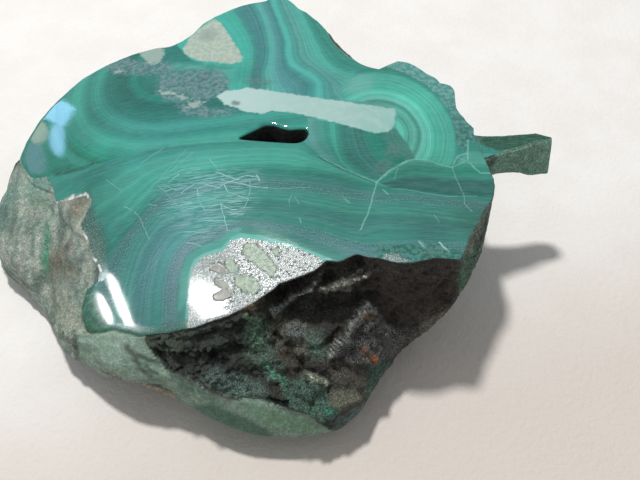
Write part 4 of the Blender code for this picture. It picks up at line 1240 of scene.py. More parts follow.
@dataclass
class StoneBody:
    """The stone's skin: its outlines, how it is lofted, joined and cut, and its marks."""

    name: str = "polished_stone"
    crown_height: float = 24.0
    right_fall: float = 0.0005
    left_fall: float = 0.0057
    corner_fall: float = 0.0142
    corner_way: Point = (-0.6, -0.8)
    face_ripple: Lumps = Lumps(9.0, 0.015)
    matrix_lumps: Lumps = Lumps(1.6, 1.0, (3.0, 3.0, 0.0))
    matrix_grit: Lumps = Lumps(0.7, 0.6, (1.0, 8.0, 0.0))
    matrix_sink: float = 0.25
    matrix_roughness: float = 0.3
    matrix_slope: float = 0.8
    matrix_margin: float = 0.45
    region_drift: float = 0.22
    # How strongly the studio lights the rock, and how much light its gloss adds.
    lit_share: float = 1.04
    front_light: float = 0.8
    facet_light: float = 0.78
    tab_light: float = 0.42
    rock_veil: float = 0.006
    front_colours: Zone = Zone((-152.0, -150.0), (-8.0, 0.0))
    shaded_side: Zone = Zone((-152.0, -148.0), (14.0, 24.0))
    rock: RockRelief = RockRelief()
    # The outlines, from the rim of the polish down to the foot: x, y and, for the three between
    # them, the height.
    rim: tuple[Point, ...] = (
        (-27.0, -16.0), (-22.0, -17.2), (-16.0, -19.8), (-11.4, -20.4), (-6.7, -20.4),
        (-3.0, -19.8), (0.3, -18.7), (3.8, -16.6), (7.1, -15.6), (9.4, -14.8),
        (10.5, -13.6), (12.0, -13.8), (15.0, -12.5), (16.0, -13.0), (18.0, -13.2),
        (20.0, -14.0), (22.0, -14.2), (24.0, -13.6), (26.0, -13.0), (29.5, -13.3),
        (31.2, -10.0), (32.4, -7.4), (34.2, -4.2), (36.2, -1.0), (36.6, 3.0), (35.4, 8.0),
        (34.5, 12.5), (35.0, 14.0), (34.0, 15.0), (33.5, 16.0), (32.8, 17.5), (32.3, 20.0),
        (32.6, 23.0), (32.0, 24.3), (30.0, 24.8), (30.0, 25.5), (29.0, 26.5), (27.0, 28.5),
        (25.0, 30.0), (23.2, 30.4), (22.4, 30.3), (21.0, 28.6), (20.4, 28.0), (18.5, 28.4),
        (16.5, 29.8), (14.5, 31.5), (12.5, 34.0), (11.3, 36.5), (11.0, 38.0), (9.5, 41.0),
        (8.0, 42.5), (7.0, 44.3), (5.5, 45.0), (4.2, 47.4), (2.7, 48.8), (0.4, 48.6),
        (-1.0, 47.5), (-4.0, 46.8), (-7.5, 45.3), (-10.5, 43.3), (-12.5, 41.5), (-14.0, 39.0),
        (-15.5, 37.5), (-17.5, 36.2), (-20.0, 36.6), (-25.0, 36.2), (-29.0, 35.3), (-32.0, 34.5),
        (-35.0, 32.8), (-37.0, 31.0), (-40.0, 28.0), (-42.0, 25.5), (-44.0, 22.0), (-45.0, 19.0),
        (-43.4, 15.6), (-40.4, 11.8), (-36.0, 8.6), (-33.0, 2.5), (-28.6, -1.8), (-26.4, -6.3),
        (-27.2, -9.4), (-28.4, -12.4),
    )
    brow: tuple[Point, ...] = (
        (-27.6, -16.6, 7.0), (-23.0, -18.0, 8.4), (-13.8, -20.6, 11.4), (-8.4, -21.2, 14.4),
        (-1.7, -20.0, 17.4), (2.2, -17.8, 18.6), (4.0, -17.0, 19.2), (7.6, -16.2, 20.0),
        (10.6, -15.0, 20.2), (14.2, -14.4, 20.4), (17.1, -13.6, 20.4), (21.3, -14.5, 19.2),
        (25.7, -14.2, 18.6), (30.2, -13.4, 18.6), (33.0, -10.4, 19.0), (34.9, -6.2, 19.4),
        (36.5, -1.0, 19.4), (37.3, 3.1, 19.8), (35.8, 9.2, 19.4), (34.4, 15.6, 19.4),
        (31.6, 25.2, 19.2), (19.4, 31.4, 19.0), (12.0, 41.0, 19.0), (0.0, 50.8, 18.6),
        (-14.8, 40.8, 18.4), (-31.0, 37.2, 14.6), (-42.4, 29.0, 11.4), (-45.6, 17.0, 9.8),
        (-42.0, 10.0, 11.0), (-37.6, 6.6, 11.0), (-36.6, 0.5, 9.2), (-34.8, -6.9, 7.0),
        (-31.4, -12.8, 6.6),
    )
    shelf: tuple[Point, ...] = (
        (-25.3, -17.8, 4.6), (-14.0, -20.8, 8.4), (-8.8, -21.8, 9.6), (-1.8, -20.9, 12.2),
        (1.7, -19.6, 13.2), (5.2, -19.2, 13.8), (8.6, -18.6, 14.4), (12.5, -18.0, 13.2),
        (15.8, -15.9, 15.4), (18.8, -14.9, 15.0), (24.4, -15.8, 12.6), (30.0, -14.1, 14.0),
        (32.6, -10.5, 16.2), (36.6, 0.0, 16.2), (35.2, 12.6, 16.4), (29.6, 26.0, 15.6),
        (17.8, 34.0, 15.4), (0.0, 52.0, 15.0), (-16.4, 40.0, 14.4), (-33.6, 37.2, 11.0),
        (-43.8, 27.4, 8.8), (-47.0, 17.0, 8.6), (-45.0, 9.6, 9.2), (-43.0, 0.0, 6.8),
        (-37.4, -7.0, 4.6), (-32.2, -13.4, 4.4),
    )
    bench: tuple[Point, ...] = (
        (-25.8, -18.0, 1.4), (-22.0, -19.5, 1.8), (-14.0, -21.4, 5.4), (-9.4, -22.6, 6.0),
        (-5.4, -24.4, 6.0), (-1.8, -25.8, 6.0), (2.2, -26.2, 6.0), (6.8, -27.2, 4.4),
        (12.0, -26.6, 3.6), (16.6, -24.0, 4.0), (20.0, -20.4, 5.2), (22.8, -17.9, 6.8),
        (25.4, -16.4, 8.2), (29.6, -13.8, 11.0), (32.4, -10.6, 13.4), (36.0, 0.0, 12.4),
        (34.6, 12.6, 12.6), (26.4, 26.8, 11.6), (16.2, 35.6, 11.4), (0.0, 51.6, 10.4),
        (-18.0, 38.6, 9.8), (-35.4, 36.0, 7.2), (-44.6, 25.6, 6.6), (-47.8, 17.4, 6.6),
        (-48.3, 11.0, 6.6), (-47.6, 4.7, 4.8), (-45.8, -1.0, 3.2), (-41.5, -4.4, 2.6),
        (-37.6, -7.2, 2.4), (-34.2, -11.4, 2.4), (-29.8, -15.8, 1.6),
    )
    foot: tuple[Point, ...] = (
        (-26.0, -14.6), (-21.4, -17.6), (-17.3, -19.8), (-13.3, -21.4), (-9.6, -23.2),
        (-5.8, -25.6), (-1.2, -27.6), (2.8, -28.3), (6.6, -28.4), (12.6, -27.2),
        (16.2, -24.0), (18.4, -19.6), (22.6, -14.4), (27.0, -8.0), (29.0, 0.0),
        (28.0, 10.0), (22.0, 21.0), (13.0, 31.0), (0.0, 44.0), (-14.0, 35.0),
        (-30.0, 31.0), (-39.0, 22.0), (-42.6, 12.0), (-42.6, 3.0), (-37.2, -3.6),
        (-32.4, -10.0),
    )
    rim_rounding: float = 0.5
    rim_chips: Lumps = Lumps(2.6, 0.25)
    rim_nicks: Lumps = Lumps(0.9, 0.12, (5.0, 2.0, 1.0))
    side_rounding: float = 1.2
    side_smoothing: int = 2
    floor_gap: float = 0.02
    front_from: float = -150.0
    front_to: float = -8.0
    front_step: float = 0.5
    back_step: float = 1.1
    face_rows: int = 72
    edge_radius: float = 0.3
    edge_rows: int = 4
    rows_between: tuple[int, ...] = (16, 24, 28, 16)
    base_rows: int = 4
    undercut_rows: int = 5
    undercut_slope: float = 1.5
    undercut_lumps: Lumps = Lumps(2.6, 0.5)
    undercut_growth: float = 0.3
    # Each row: x, the far side, the near side at the top and at the bottom, the top and the bottom.
    tab_sections: tuple[Point, ...] = (
        (31.0, 13.6, 5.6, 6.2, 22.9, 16.2), (36.2, 12.6, 6.9, 7.8, 23.1, 17.0),
        (39.0, 12.6, 8.4, 8.6, 23.1, 17.5), (42.0, 12.9, 9.4, 9.0, 23.1, 17.3),
        (44.8, 13.3, 10.8, 8.9, 23.0, 16.8), (47.4, 13.0, 11.7, 9.3, 22.5, 16.6),
    )
    # The blunt end: how much of the last section is left, and how far it stands out.
    tab_end: tuple[Point, ...] = ((0.97, 0.12), (0.9, 0.16), (0.5, 0.1), (0.0, 0.06))
    tab_edge: float = 0.5
    tab_rows: int = 40
    tab_side_points: int = 9
    tab_lumps: Lumps = Lumps(1.6, 0.14)
    tab_grit: Lumps = Lumps(0.6, 0.07, (2.0, 2.0, 2.0))
    tab_top_roughness: float = 0.15
    tab_polish_from: float = 34.0
    tab_polish_above: float = 21.0
    pocket_mouth: tuple[Point, ...] = (
        (-3.8, 10.7), (-3.2, 11.4), (-1.0, 12.9), (0.5, 14.0), (2.0, 13.9), (3.6, 13.1),
        (4.8, 12.9), (6.0, 13.1), (7.3, 13.1), (7.7, 12.1), (7.1, 10.5), (5.8, 9.8),
        (3.0, 10.0), (0.0, 10.3),
    )
    pocket_depth: float = 15.0
    pocket_narrowing: float = 0.55
    pocket_lip: float = 0.45
    pocket_smoothing: int = 3
    directions: np.ndarray = field(default_factory=lambda: np.zeros(0))

    def face_height(self, x: np.ndarray, y: np.ndarray) -> np.ndarray:
        """Return the height of the polished face over points of the plan."""
        height = self.crown_height - self.right_fall * np.maximum(x, 0.0) ** 2
        height = height - self.left_fall * np.minimum(x, 0.0) ** 2
        towards_corner = x * self.corner_way[0] + y * self.corner_way[1]
        return height - self.corner_fall * np.maximum(towards_corner, 0.0) ** 2

    def around(self, outline: tuple[Point, ...], rounding: float) -> tuple[np.ndarray, np.ndarray]:
        """Return the radius and height of an outline in each direction, its corners rounded."""
        points = np.array(outline)
        heading = np.degrees(np.arctan2(points[:, 1], points[:, 0]))
        radius = np.hypot(points[:, 0], points[:, 1])
        height = points[:, 2] if points.shape[1] == 3 else np.zeros(len(points))
        steps = np.linspace(-rounding, rounding, 5)
        radii = [np.interp(self.directions + step, heading, radius, period=360.0) for step in steps]
        heights = [np.interp(self.directions + step, heading, height, period=360.0) for step in steps]
        return np.mean(radii, axis=0), np.mean(heights, axis=0)

    def set_directions(self) -> None:
        """Choose the directions round the stone, closer together along the broken front."""
        front = np.arange(self.front_from, self.front_to, self.front_step)
        back = np.arange(self.front_to, self.front_from + 360.0, self.back_step)
        self.directions = np.concatenate([front, back])

    def ring_points(self, radius: np.ndarray, height: np.ndarray) -> np.ndarray:
        """Return the points of one ring from its radius and height in each direction."""
        turn = np.radians(self.directions)
        return np.stack([radius * np.cos(turn), radius * np.sin(turn), height], axis=-1)

    def rim_radius(self) -> np.ndarray:
        """Return the radius of the rim in each direction, with its chips."""
        radius, _ = self.around(self.rim, self.rim_rounding)
        edge = self.ring_points(radius, np.zeros(len(radius)))
        return radius + (self.rim_chips.at(edge) + self.rim_nicks.at(edge))

    def face_rings(self, rim: np.ndarray) -> list[np.ndarray]:
        """Return the rings of the polished face, from its middle out to its rounded edge."""
        shares = np.arange(0, self.face_rows + 1) / self.face_rows
        angles = np.radians(np.arange(1, self.edge_rows + 1) * 90.0 / self.edge_rows)
        radii = [share * (rim - self.edge_radius) for share in shares]
        drops = [0.0] * len(radii)
        radii += [rim - self.edge_radius * (1.0 - math.sin(angle)) for angle in angles]
        drops += [self.edge_radius * (1.0 - math.cos(angle)) for angle in angles]
        rings = []
        for radius, drop in zip(radii, drops):
            ring = self.ring_points(radius, np.zeros(len(rim)))
            matrix = smooth_step(MATRIX_ON_FACE.depth(ring[:, :2]), 0.0, self.matrix_slope)
            lumps = self.matrix_lumps.at(ring) + self.matrix_grit.at(ring)
            rough = lumps * self.matrix_roughness - self.matrix_sink
            ripple = self.face_ripple.at(ring)
            ring[:, 2] = self.face_height(ring[:, 0], ring[:, 1]) + ripple + matrix * rough - drop
            rings.append(ring)
        return rings

    def side_base(self, edge: np.ndarray) -> tuple[np.ndarray, np.ndarray]:
        """Return the smooth rings of the sides below the rim, and each ring's level.

        Args:
            edge: the last ring of the polished face.

        Returns:
            The rings as rows of points, and a level from 0 at the rim to 4 at the foot.
        """
        outlines = [(np.hypot(edge[:, 0], edge[:, 1]), edge[:, 2])]
        for line in (self.brow, self.shelf, self.bench, self.foot):
            outlines.append(self.around(line, self.side_rounding))
        rings, levels = [edge], [0.0]
        for upper, rows in enumerate(self.rows_between):
            for row in range(1, rows + 1):
                share = row / rows
                radius = outlines[upper][0] * (1.0 - share) + outlines[upper + 1][0] * share
                height = outlines[upper][1] * (1.0 - share) + outlines[upper + 1][1] * share
                rings.append(self.ring_points(radius, height))
                levels.append(upper + share)
        smooth = np.array(rings)
        for _ in range(self.side_smoothing):
            smooth[1:-1] = (smooth[:-2] + 2.0 * smooth[1:-1] + smooth[2:]) / 4.0
        return smooth, np.array(levels)

    def side_rings(self, edge: np.ndarray) -> np.ndarray:
        """Return the rings of the sides with their rock relief, from below the rim to the base."""
        base, levels = self.side_base(edge)
        around = np.roll(base, -1, axis=1) - np.roll(base, 1, axis=1)
        down = np.gradient(base, axis=0)
        out = np.cross(down, around)
        out /= np.maximum(np.linalg.norm(out, axis=2, keepdims=True), 1e-9)
        places = base.reshape(-1, 3)
        level = np.repeat(levels, base.shape[1])
        heading = np.tile(self.directions, base.shape[0])
        relief = self.rock.height(places, heading, level)
        moved = places + out.reshape(-1, 3) * relief[:, None]
        at_foot = level >= FOOT_LEVEL
        moved[:, 2] = np.maximum(moved[:, 2], np.where(at_foot, 0.0, self.floor_gap))
        moved[at_foot, 2] = 0.0
        raised = (moved + clear_by(moved)).reshape(base.shape)
        foot = moved.reshape(base.shape)[-1]
        return np.concatenate([raised[1:], self.undercut(foot, raised[-1])])

    def undercut(self, foot: np.ndarray, raised: np.ndarray) -> np.ndarray:
        """Return the rings that run in and down from the raised lower edge to the base.

        Args:
            foot: the lower edge where it would stand on the floor.
            raised: the lower edge where it is.

        Returns:
            The rings, with the last one on the floor.
        """
        inset = raised[:, 2] * self.undercut_slope
        away = np.maximum(np.linalg.norm(foot[:, :2], axis=1), 1.0)
        contact = foot * (1.0 - inset / away)[:, None]
        shares = np.arange(1, self.undercut_rows + 1) / self.undercut_rows
        rings = np.array([raised * (1.0 - share) + contact * share for share in shares])
        lumps = self.undercut_lumps.at(rings.reshape(-1, 3)).reshape(rings.shape[:2])
        growth = np.minimum(raised[:, 2] * self.undercut_growth, 1.0)
        rings[:-1, :, 2] += (lumps * growth)[:-1]
        return rings

    def base_rings(self, foot: np.ndarray) -> list[np.ndarray]:
        """Return the rings of the flat sawn base, from the foot in to the middle."""
        shares = 1.0 - np.arange(1, self.base_rows + 1) / self.base_rows
        return [foot * share for share in shares]

    def build_skin(self) -> bpy.types.Object:
        """Loft the stone without its tab and pocket."""
        self.set_directions()
        face = self.face_rings(self.rim_radius())
        sides = self.side_rings(face[-1])
        rings = np.array([*face, *sides, *self.base_rings(sides[-1])])
        return add_object(self.name, bend_grid(rings, polished_rows=self.face_rows + 2))

    def tab_ring(self, x: float) -> np.ndarray:
        """Return the points round the tab at one place along it."""
        sections = np.array(self.tab_sections)
        far, near_top, near_bottom, top, bottom = (
            float(np.interp(x, sections[:, 0], column)) for column in sections.T[1:])
        cut = self.tab_edge
        corners = np.array([
            (far - cut, top), (far, top - cut), (far, bottom + cut), (far - cut, bottom),
            (near_bottom + cut, bottom), (near_bottom, bottom + cut), (near_top, top - cut),
            (near_top + cut, top), (far - cut, top),
        ])
        sides = len(corners) - 1
        along = np.linspace(0.0, sides, sides * self.tab_side_points + 1)[:-1]
        y = np.interp(along, np.arange(len(corners)), corners[:, 0])
        z = np.interp(along, np.arange(len(corners)), corners[:, 1])
        ring = np.stack([np.full(len(y), x), y, z], axis=-1)
        middle = np.array([x, (far + near_top) / 2.0, (top + bottom) / 2.0])
        rough = self.tab_lumps.at(ring) + self.tab_grit.at(ring)
        rough *= np.where(ring[:, 2] > top - 0.2, self.tab_top_roughness, 1.0)
        away = ring - middle
        away /= np.maximum(np.linalg.norm(away, axis=1, keepdims=True), 1e-9)
        return ring + away * rough[:, None]

    def build_tab(self) -> bpy.types.Object:
        """Loft the tab that grows out of the right side, with a blunt end."""
        first_x, last_x = self.tab_sections[0][0], self.tab_sections[-1][0]
        rings = [self.tab_ring(x) for x in np.linspace(first_x, last_x, self.tab_rows)]
        first, last = rings[0], rings[-1]
        caps = [first * 0.0 + first.mean(axis=0)]
        middle = last.mean(axis=0)
        ends = [middle + (last - middle) * share + np.array([push, 0.0, 0.0])
                for share, push in self.tab_end]
        return add_object("tab", bend_grid(np.array([*caps, *rings, *ends])))

    def pocket_outline(self) -> np.ndarray:
        """Return the outline of the pocket's mouth, its corners rounded."""
        mouth = np.array(self.pocket_mouth)
        closed = np.concatenate([mouth, mouth[:1]])
        along = np.linspace(0.0, len(mouth), len(mouth) * 5 + 1)[:-1]
        corners = np.arange(len(closed))
        outline = np.stack([np.interp(along, corners, column) for column in closed.T], -1)
        for _ in range(self.pocket_smoothing):
            before, after = np.roll(outline, 1, axis=0), np.roll(outline, -1, axis=0)
            outline = (before + 2.0 * outline + after) / 4.0
        return outline

    def build_pocket(self) -> bpy.types.Object:
        """Make the cutter of the deep pocket, flared at its mouth into a rounded lip."""
        outline = self.pocket_outline()
        middle = outline.mean(axis=0)
        tangent = np.roll(outline, -1, axis=0) - np.roll(outline, 1, axis=0)
        out = np.stack([tangent[:, 1], -tangent[:, 0]], -1)
        out /= np.linalg.norm(out, axis=1, keepdims=True)
        out *= np.sign(np.sum(out * (outline - middle), axis=1).mean())
        lip = self.pocket_lip
        flare = [(3.0, lip), (0.12, lip)]
        for turn in np.radians((18, 36, 54, 72, 90)):
            flare.append((lip * (math.cos(turn) - 1.0), lip * (1.0 - math.sin(turn))))
        rings = [np.column_stack([outline + out * grow, np.full(len(outline), self.crown_height + rise)])
                 for rise, grow in flare]
        for share in (0.15, 0.4, 0.7, 1.0):
            inner = middle + (outline - middle) * (1.0 - (1.0 - self.pocket_narrowing) * share)
            height = self.crown_height - self.pocket_depth * share
            rings.append(np.column_stack([inner, np.full(len(inner), height)]))
        caps = [rings[0] * 0.0 + rings[0].mean(axis=0)]
        ends = [rings[-1] * 0.0 + rings[-1].mean(axis=0)]
        skin = bend_grid(np.array([*caps, *rings, *ends]), rest=Surface.POCKET)
        lip_bottom = (self.crown_height - lip * 1.02) * MM
        for face in skin.faces:
            if face.calc_center_median().z > lip_bottom:
                face.material_index = Surface.POLISHED
        return add_object("pocket", skin)

    def build(self) -> bpy.types.Object:
        """Build the whole stone as one closed mesh.

        Returns:
            The finished object, with its modifiers applied.
        """
        stone = self.build_skin()
        tools = [self.build_tab(), self.build_pocket()]
        add_boolean(stone, tools[0], "UNION")
        add_boolean(stone, tools[1], "DIFFERENCE")
        depsgraph = bpy.context.evaluated_depsgraph_get()
        mesh = bpy.data.meshes.new_from_object(stone.evaluated_get(depsgraph))
        stone.modifiers.clear()
        stone.data = mesh
        for tool in tools:
            bpy.data.objects.remove(tool, do_unlink=True)
        self.mark_tab(stone)
        return stone

    def mark_tab(self, stone: bpy.types.Object) -> None:
        """Give the top of the tab the polished finish."""
        for face in stone.data.polygons:
            centre = face.center / MM
            on_tab = centre.x > self.tab_polish_from and centre.z > self.tab_polish_above
            if on_tab and face.normal.z > 0.8:
                face.material_index = Surface.POLISHED

    def dress(self, stone: bpy.types.Object) -> None:
        """Write the stone's marks at its points, and give it its finishes."""
        count = len(stone.data.vertices)
        places = np.zeros(count * 3)
        stone.data.vertices.foreach_get("co", places)
        places = places.reshape(-1, 3) / MM
        plan = places[:, :2]
        drift = drift_at(places, 1.1, (2.0, 6.0, 1.0), (9.0, 1.0, 3.0))
        for family in FAMILIES:
            self.write(stone, family.name, family.values(plan))
            self.write(stone, family.name + "_area", depth_in(plan, family.area))
        for region in REGIONS:
            self.write(stone, region.name, region.depth(plan + drift * self.region_drift))
        shade = np.ones((count, 3))
        for patch in SHADE_PATCHES:
            gap = np.linalg.norm(plan - np.array(patch.centre), axis=1) / patch.reach
            shade *= 1.0 + np.exp(-(gap ** 2))[:, None] * (np.array(patch.gain) - 1.0)
        self.write_colour(stone, "shade", shade)
        self.mark_matrix(stone)
        self.write_rock(stone, places)
        for finish in (PolishedFinish(), RockFinish(), PocketFinish()):
            stone.data.materials.append(finish.material())

    def mark_matrix(self, stone: bpy.types.Object) -> None:
        """Give the broken left part of the face the rock finish."""
        centres = np.array([tuple(face.center) for face in stone.data.polygons]) / MM
        deep = MATRIX_ON_FACE.depth(centres[:, :2]) > self.matrix_margin
        for face, inside in zip(stone.data.polygons, deep):
            if inside and face.material_index == Surface.POLISHED:
                face.material_index = Surface.ROCK

    def write_colour(self, stone: bpy.types.Object, name: str, colour: np.ndarray) -> None:
        """Write a colour at each point of the mesh."""
        rgba = np.column_stack([colour, np.ones(len(colour))]).astype(np.float32)
        attribute = stone.data.attributes.new(name, "FLOAT_COLOR", "POINT")
        attribute.data.foreach_set("color", rgba.ravel())

    def write(self, stone: bpy.types.Object, name: str, values: np.ndarray) -> None:
        """Write a number at each point of the mesh."""
        attribute = stone.data.attributes.new(name, "FLOAT", "POINT")
        attribute.data.foreach_set("value", values.astype(np.float32))

    def write_rock(self, stone: bpy.types.Object, places: np.ndarray) -> None:
        """Work out the colour and the roughness of the broken rock at each point."""
        places = places - clear_by(places)
        warp = drift_at(places, 1.7, (1.0, 0.0, 0.0), (0.0, 5.0, 0.0), (0.0, 0.0, 9.0))
        warp += 0.45 * drift_at(places, 0.7, (4.0, 0.0, 0.0), (0.0, 3.0, 0.0), (0.0, 0.0, 2.0))
        spots = places + warp * 0.9
        heading = np.degrees(np.arctan2(places[:, 1], places[:, 0]))
        tab = smooth_step(spots[:, 0], 36.5, 38.0)
        facet = self.rock.facet(places + warp * 0.25, heading)
        front = self.rock.ragged_front(places)
        broken = self.front_colours.share(heading)
        rock = RockPaint.plain(len(places))
        back = 1.0 - smooth_step(heading, -170.0, -160.0) + smooth_step(heading, -14.0, -2.0)
        rock.cover(np.clip(back, 0.0, 1.0), BACK_SEEN, 0.6)
        rock.cover(smooth_step(spots[:, 0], 34.6, 36.6), TAB_ROOT_SEEN, 0.6)
        rock.cover(tab, TAB_SEEN, 0.3)
        for mark in FRONT_MARKS:
            rock.cover(mark.share(front) * broken, mark.seen, mark.grain, mark.sparkle)
        self.cover_matrix(rock, places, spots)
        self.cover_facet(rock, facet, places, front_place(places + warp * 0.15))
        low = 1.0 - smooth_step(places[:, 2], 2.0, 4.0)
        for mark in BASE_MARKS:
            rock.cover(mark.share(front) * low, mark.seen, mark.grain)
        lit = self.lit_share - (self.lit_share - self.front_light) * self.shaded_side.share(heading)
        lit += (self.facet_light - self.front_light) * facet
        lit += (self.tab_light - lit) * tab
        base = np.clip((rock.colour - self.rock_veil) / lit[:, None], DARKEST, PALEST)
        self.write_colour(stone, "rock_colour", base)
        self.write(stone, "rock_grain", rock.grain)
        self.write(stone, "rock_sparkle", rock.sparkle)

    def cover_matrix(self, rock: RockPaint, places: np.ndarray, spots: np.ndarray) -> None:
        """Lay the grey brown matrix over the left of the stone.

        Args:
            rock: the rock so far.
            places: the places on the stone.
            spots: the same places, moved about a little.
        """
        left = smooth_step(-spots[:, 0], 24.6, 26.0)
        left = left * (1.0 - smooth_step(places[:, 1], 17.0, 20.0))
        below = smooth_step(places[:, 1] + 0.9 * (places[:, 0] + 27.0), -17.4, -16.0)
        far_left = smooth_step(-places[:, 0], 28.0, 29.5)
        front = (places[:, 1] < -8.0) & (places[:, 2] < 12.0)
        left = np.where(front, left * np.maximum(below, far_left), left)
        rock.cover(left, MATRIX_SEEN, 0.22)
        streaks = noise_at(places * (1.0, 0.35, 0.5), 1.1)
        streaks = streaks + 0.8 * noise_at(places * (1.0, 0.5, 0.6), 3.2)
        rock.cover(np.clip(streaks * 1.6, 0.0, 0.85) * left, MATRIX_PALE_SEEN)
        rock.cover(np.clip(-streaks * 1.7, 0.0, 0.85) * left, MATRIX_DARK_SEEN)
        for mark in MATRIX_MARKS:
            rock.cover(left * mark.nearness(spots) * mark.strength, mark.seen)

    def cover_facet(self, rock: RockPaint, facet: np.ndarray, places: np.ndarray,
                    front: np.ndarray) -> None:
        """Lay the pale green of the smooth facet over the rock, with its streaks and marks.

        Args:
            rock: the rock so far.
            facet: how far each place belongs to the facet.
            places: the places on the stone.
            front: the places across the front and up its slope.
        """
        rock.cover(facet, FACET_SEEN, 0.1)
        streaks = noise_at(places * (0.3, 1.0, 1.0), 0.8) + noise_at(places * (0.4, 1.0, 1.0), 2.4)
        rock.cover(np.clip(streaks * 0.5, 0.0, 0.4) * facet, FACET_PALE_SEEN)
        rock.cover(np.clip(-streaks * 0.6, 0.0, 0.5) * facet, FACET_DARK_SEEN)
        for mark in FACET_MARKS:
            rock.cover(mark.share(front) * facet, mark.seen)


@dataclass(frozen=True)
class RockFinish:
    """Broken and weathered rock: its colours are worked out at each point of the mesh."""

    name: str = "broken_rock"
    refraction: float = 1.6
    pale_grain_and_glint: Seen = (206, 212, 208)
    coarse_scale: float = 0.9
    fine_scale: float = 3.6
    dust_scale: float = 6.5
    crystal_scale: float = 2.4
    lump_height: float = 0.9
    crystal_height: float = 0.3
    sand_height: float = 0.28
    sparkle_roughness: float = 0.22

    def look(self, bench: Bench, place: Source) -> tuple[Source, Source, Source]:
        """Return the rock's colour, roughness and height in millimetres at each place."""
        tint = bench.mark("rock_colour", "Color")
        grain = bench.mark("rock_grain")
        sparkle = bench.mark("rock_sparkle")
        coarse = bench.noise(place, self.coarse_scale, 5.0, 0.7)
        fine = bench.noise(place, self.fine_scale, 4.0, 0.75)
        dust = bench.noise(place, self.dust_scale, 2.0, 0.6)
        crystals = bench.cells(place, self.crystal_scale)
        gap = crystals.outputs["Distance"]
        own = bench.add("ShaderNodeSeparateColor")
        bench.feed(own.inputs[0], crystals.outputs["Color"])
        # Darker where the coarse and fine noise are low, as the bump is: painted shade in the hollows
        # and painted light on the crests, over random tone.
        shade = bench.between(bench.step(coarse, 0.3, 0.7), 0.45, 1.55)
        shade = bench.times(shade, bench.between(bench.step(fine, 0.32, 0.7), 0.35, 1.85))
        shade = bench.times(shade, bench.between(own.outputs[0], 0.6, 1.45))
        strength = bench.math("ADD", bench.times(grain, 0.75), 0.25, clamp=True)
        colour = bench.shaded(tint, bench.between(strength, 1.0, shade))
        # Pale specks where the rock sparkles: partly pale crystals, partly painted glints.
        pale = bench.times(bench.step(dust, 0.53, 0.64), bench.times(sparkle, 0.85))
        colour = bench.blend(pale, colour, paint(self.pale_grain_and_glint))
        dull = bench.between(bench.step(gap, 0.1, 0.5), 0.32, 0.75)
        dull = bench.between(sparkle, dull, self.sparkle_roughness)
        lumps = bench.times(coarse, bench.plus(bench.times(grain, 0.9), 0.06))
        facets = bench.times(gap, grain)
        sand = bench.times(fine, bench.plus(bench.times(grain, 0.9), 0.08))
        height = bench.times(lumps, self.lump_height)
        height = bench.plus(height, bench.times(facets, self.crystal_height))
        height = bench.plus(height, bench.times(sand, self.sand_height))
        return colour, dull, height

    def material(self) -> bpy.types.Material:
        """Build the finish."""
        bench, shader = new_material(self.name)
        colour, dull, height = self.look(bench, bench.object_place())
        bench.feed(shader.inputs["Base Color"], colour)
        bench.feed(shader.inputs["Roughness"], dull)
        shader.inputs["IOR"].default_value = self.refraction
        bench.feed(shader.inputs["Normal"], bench.bump(height, 1.0))
        return bench.material


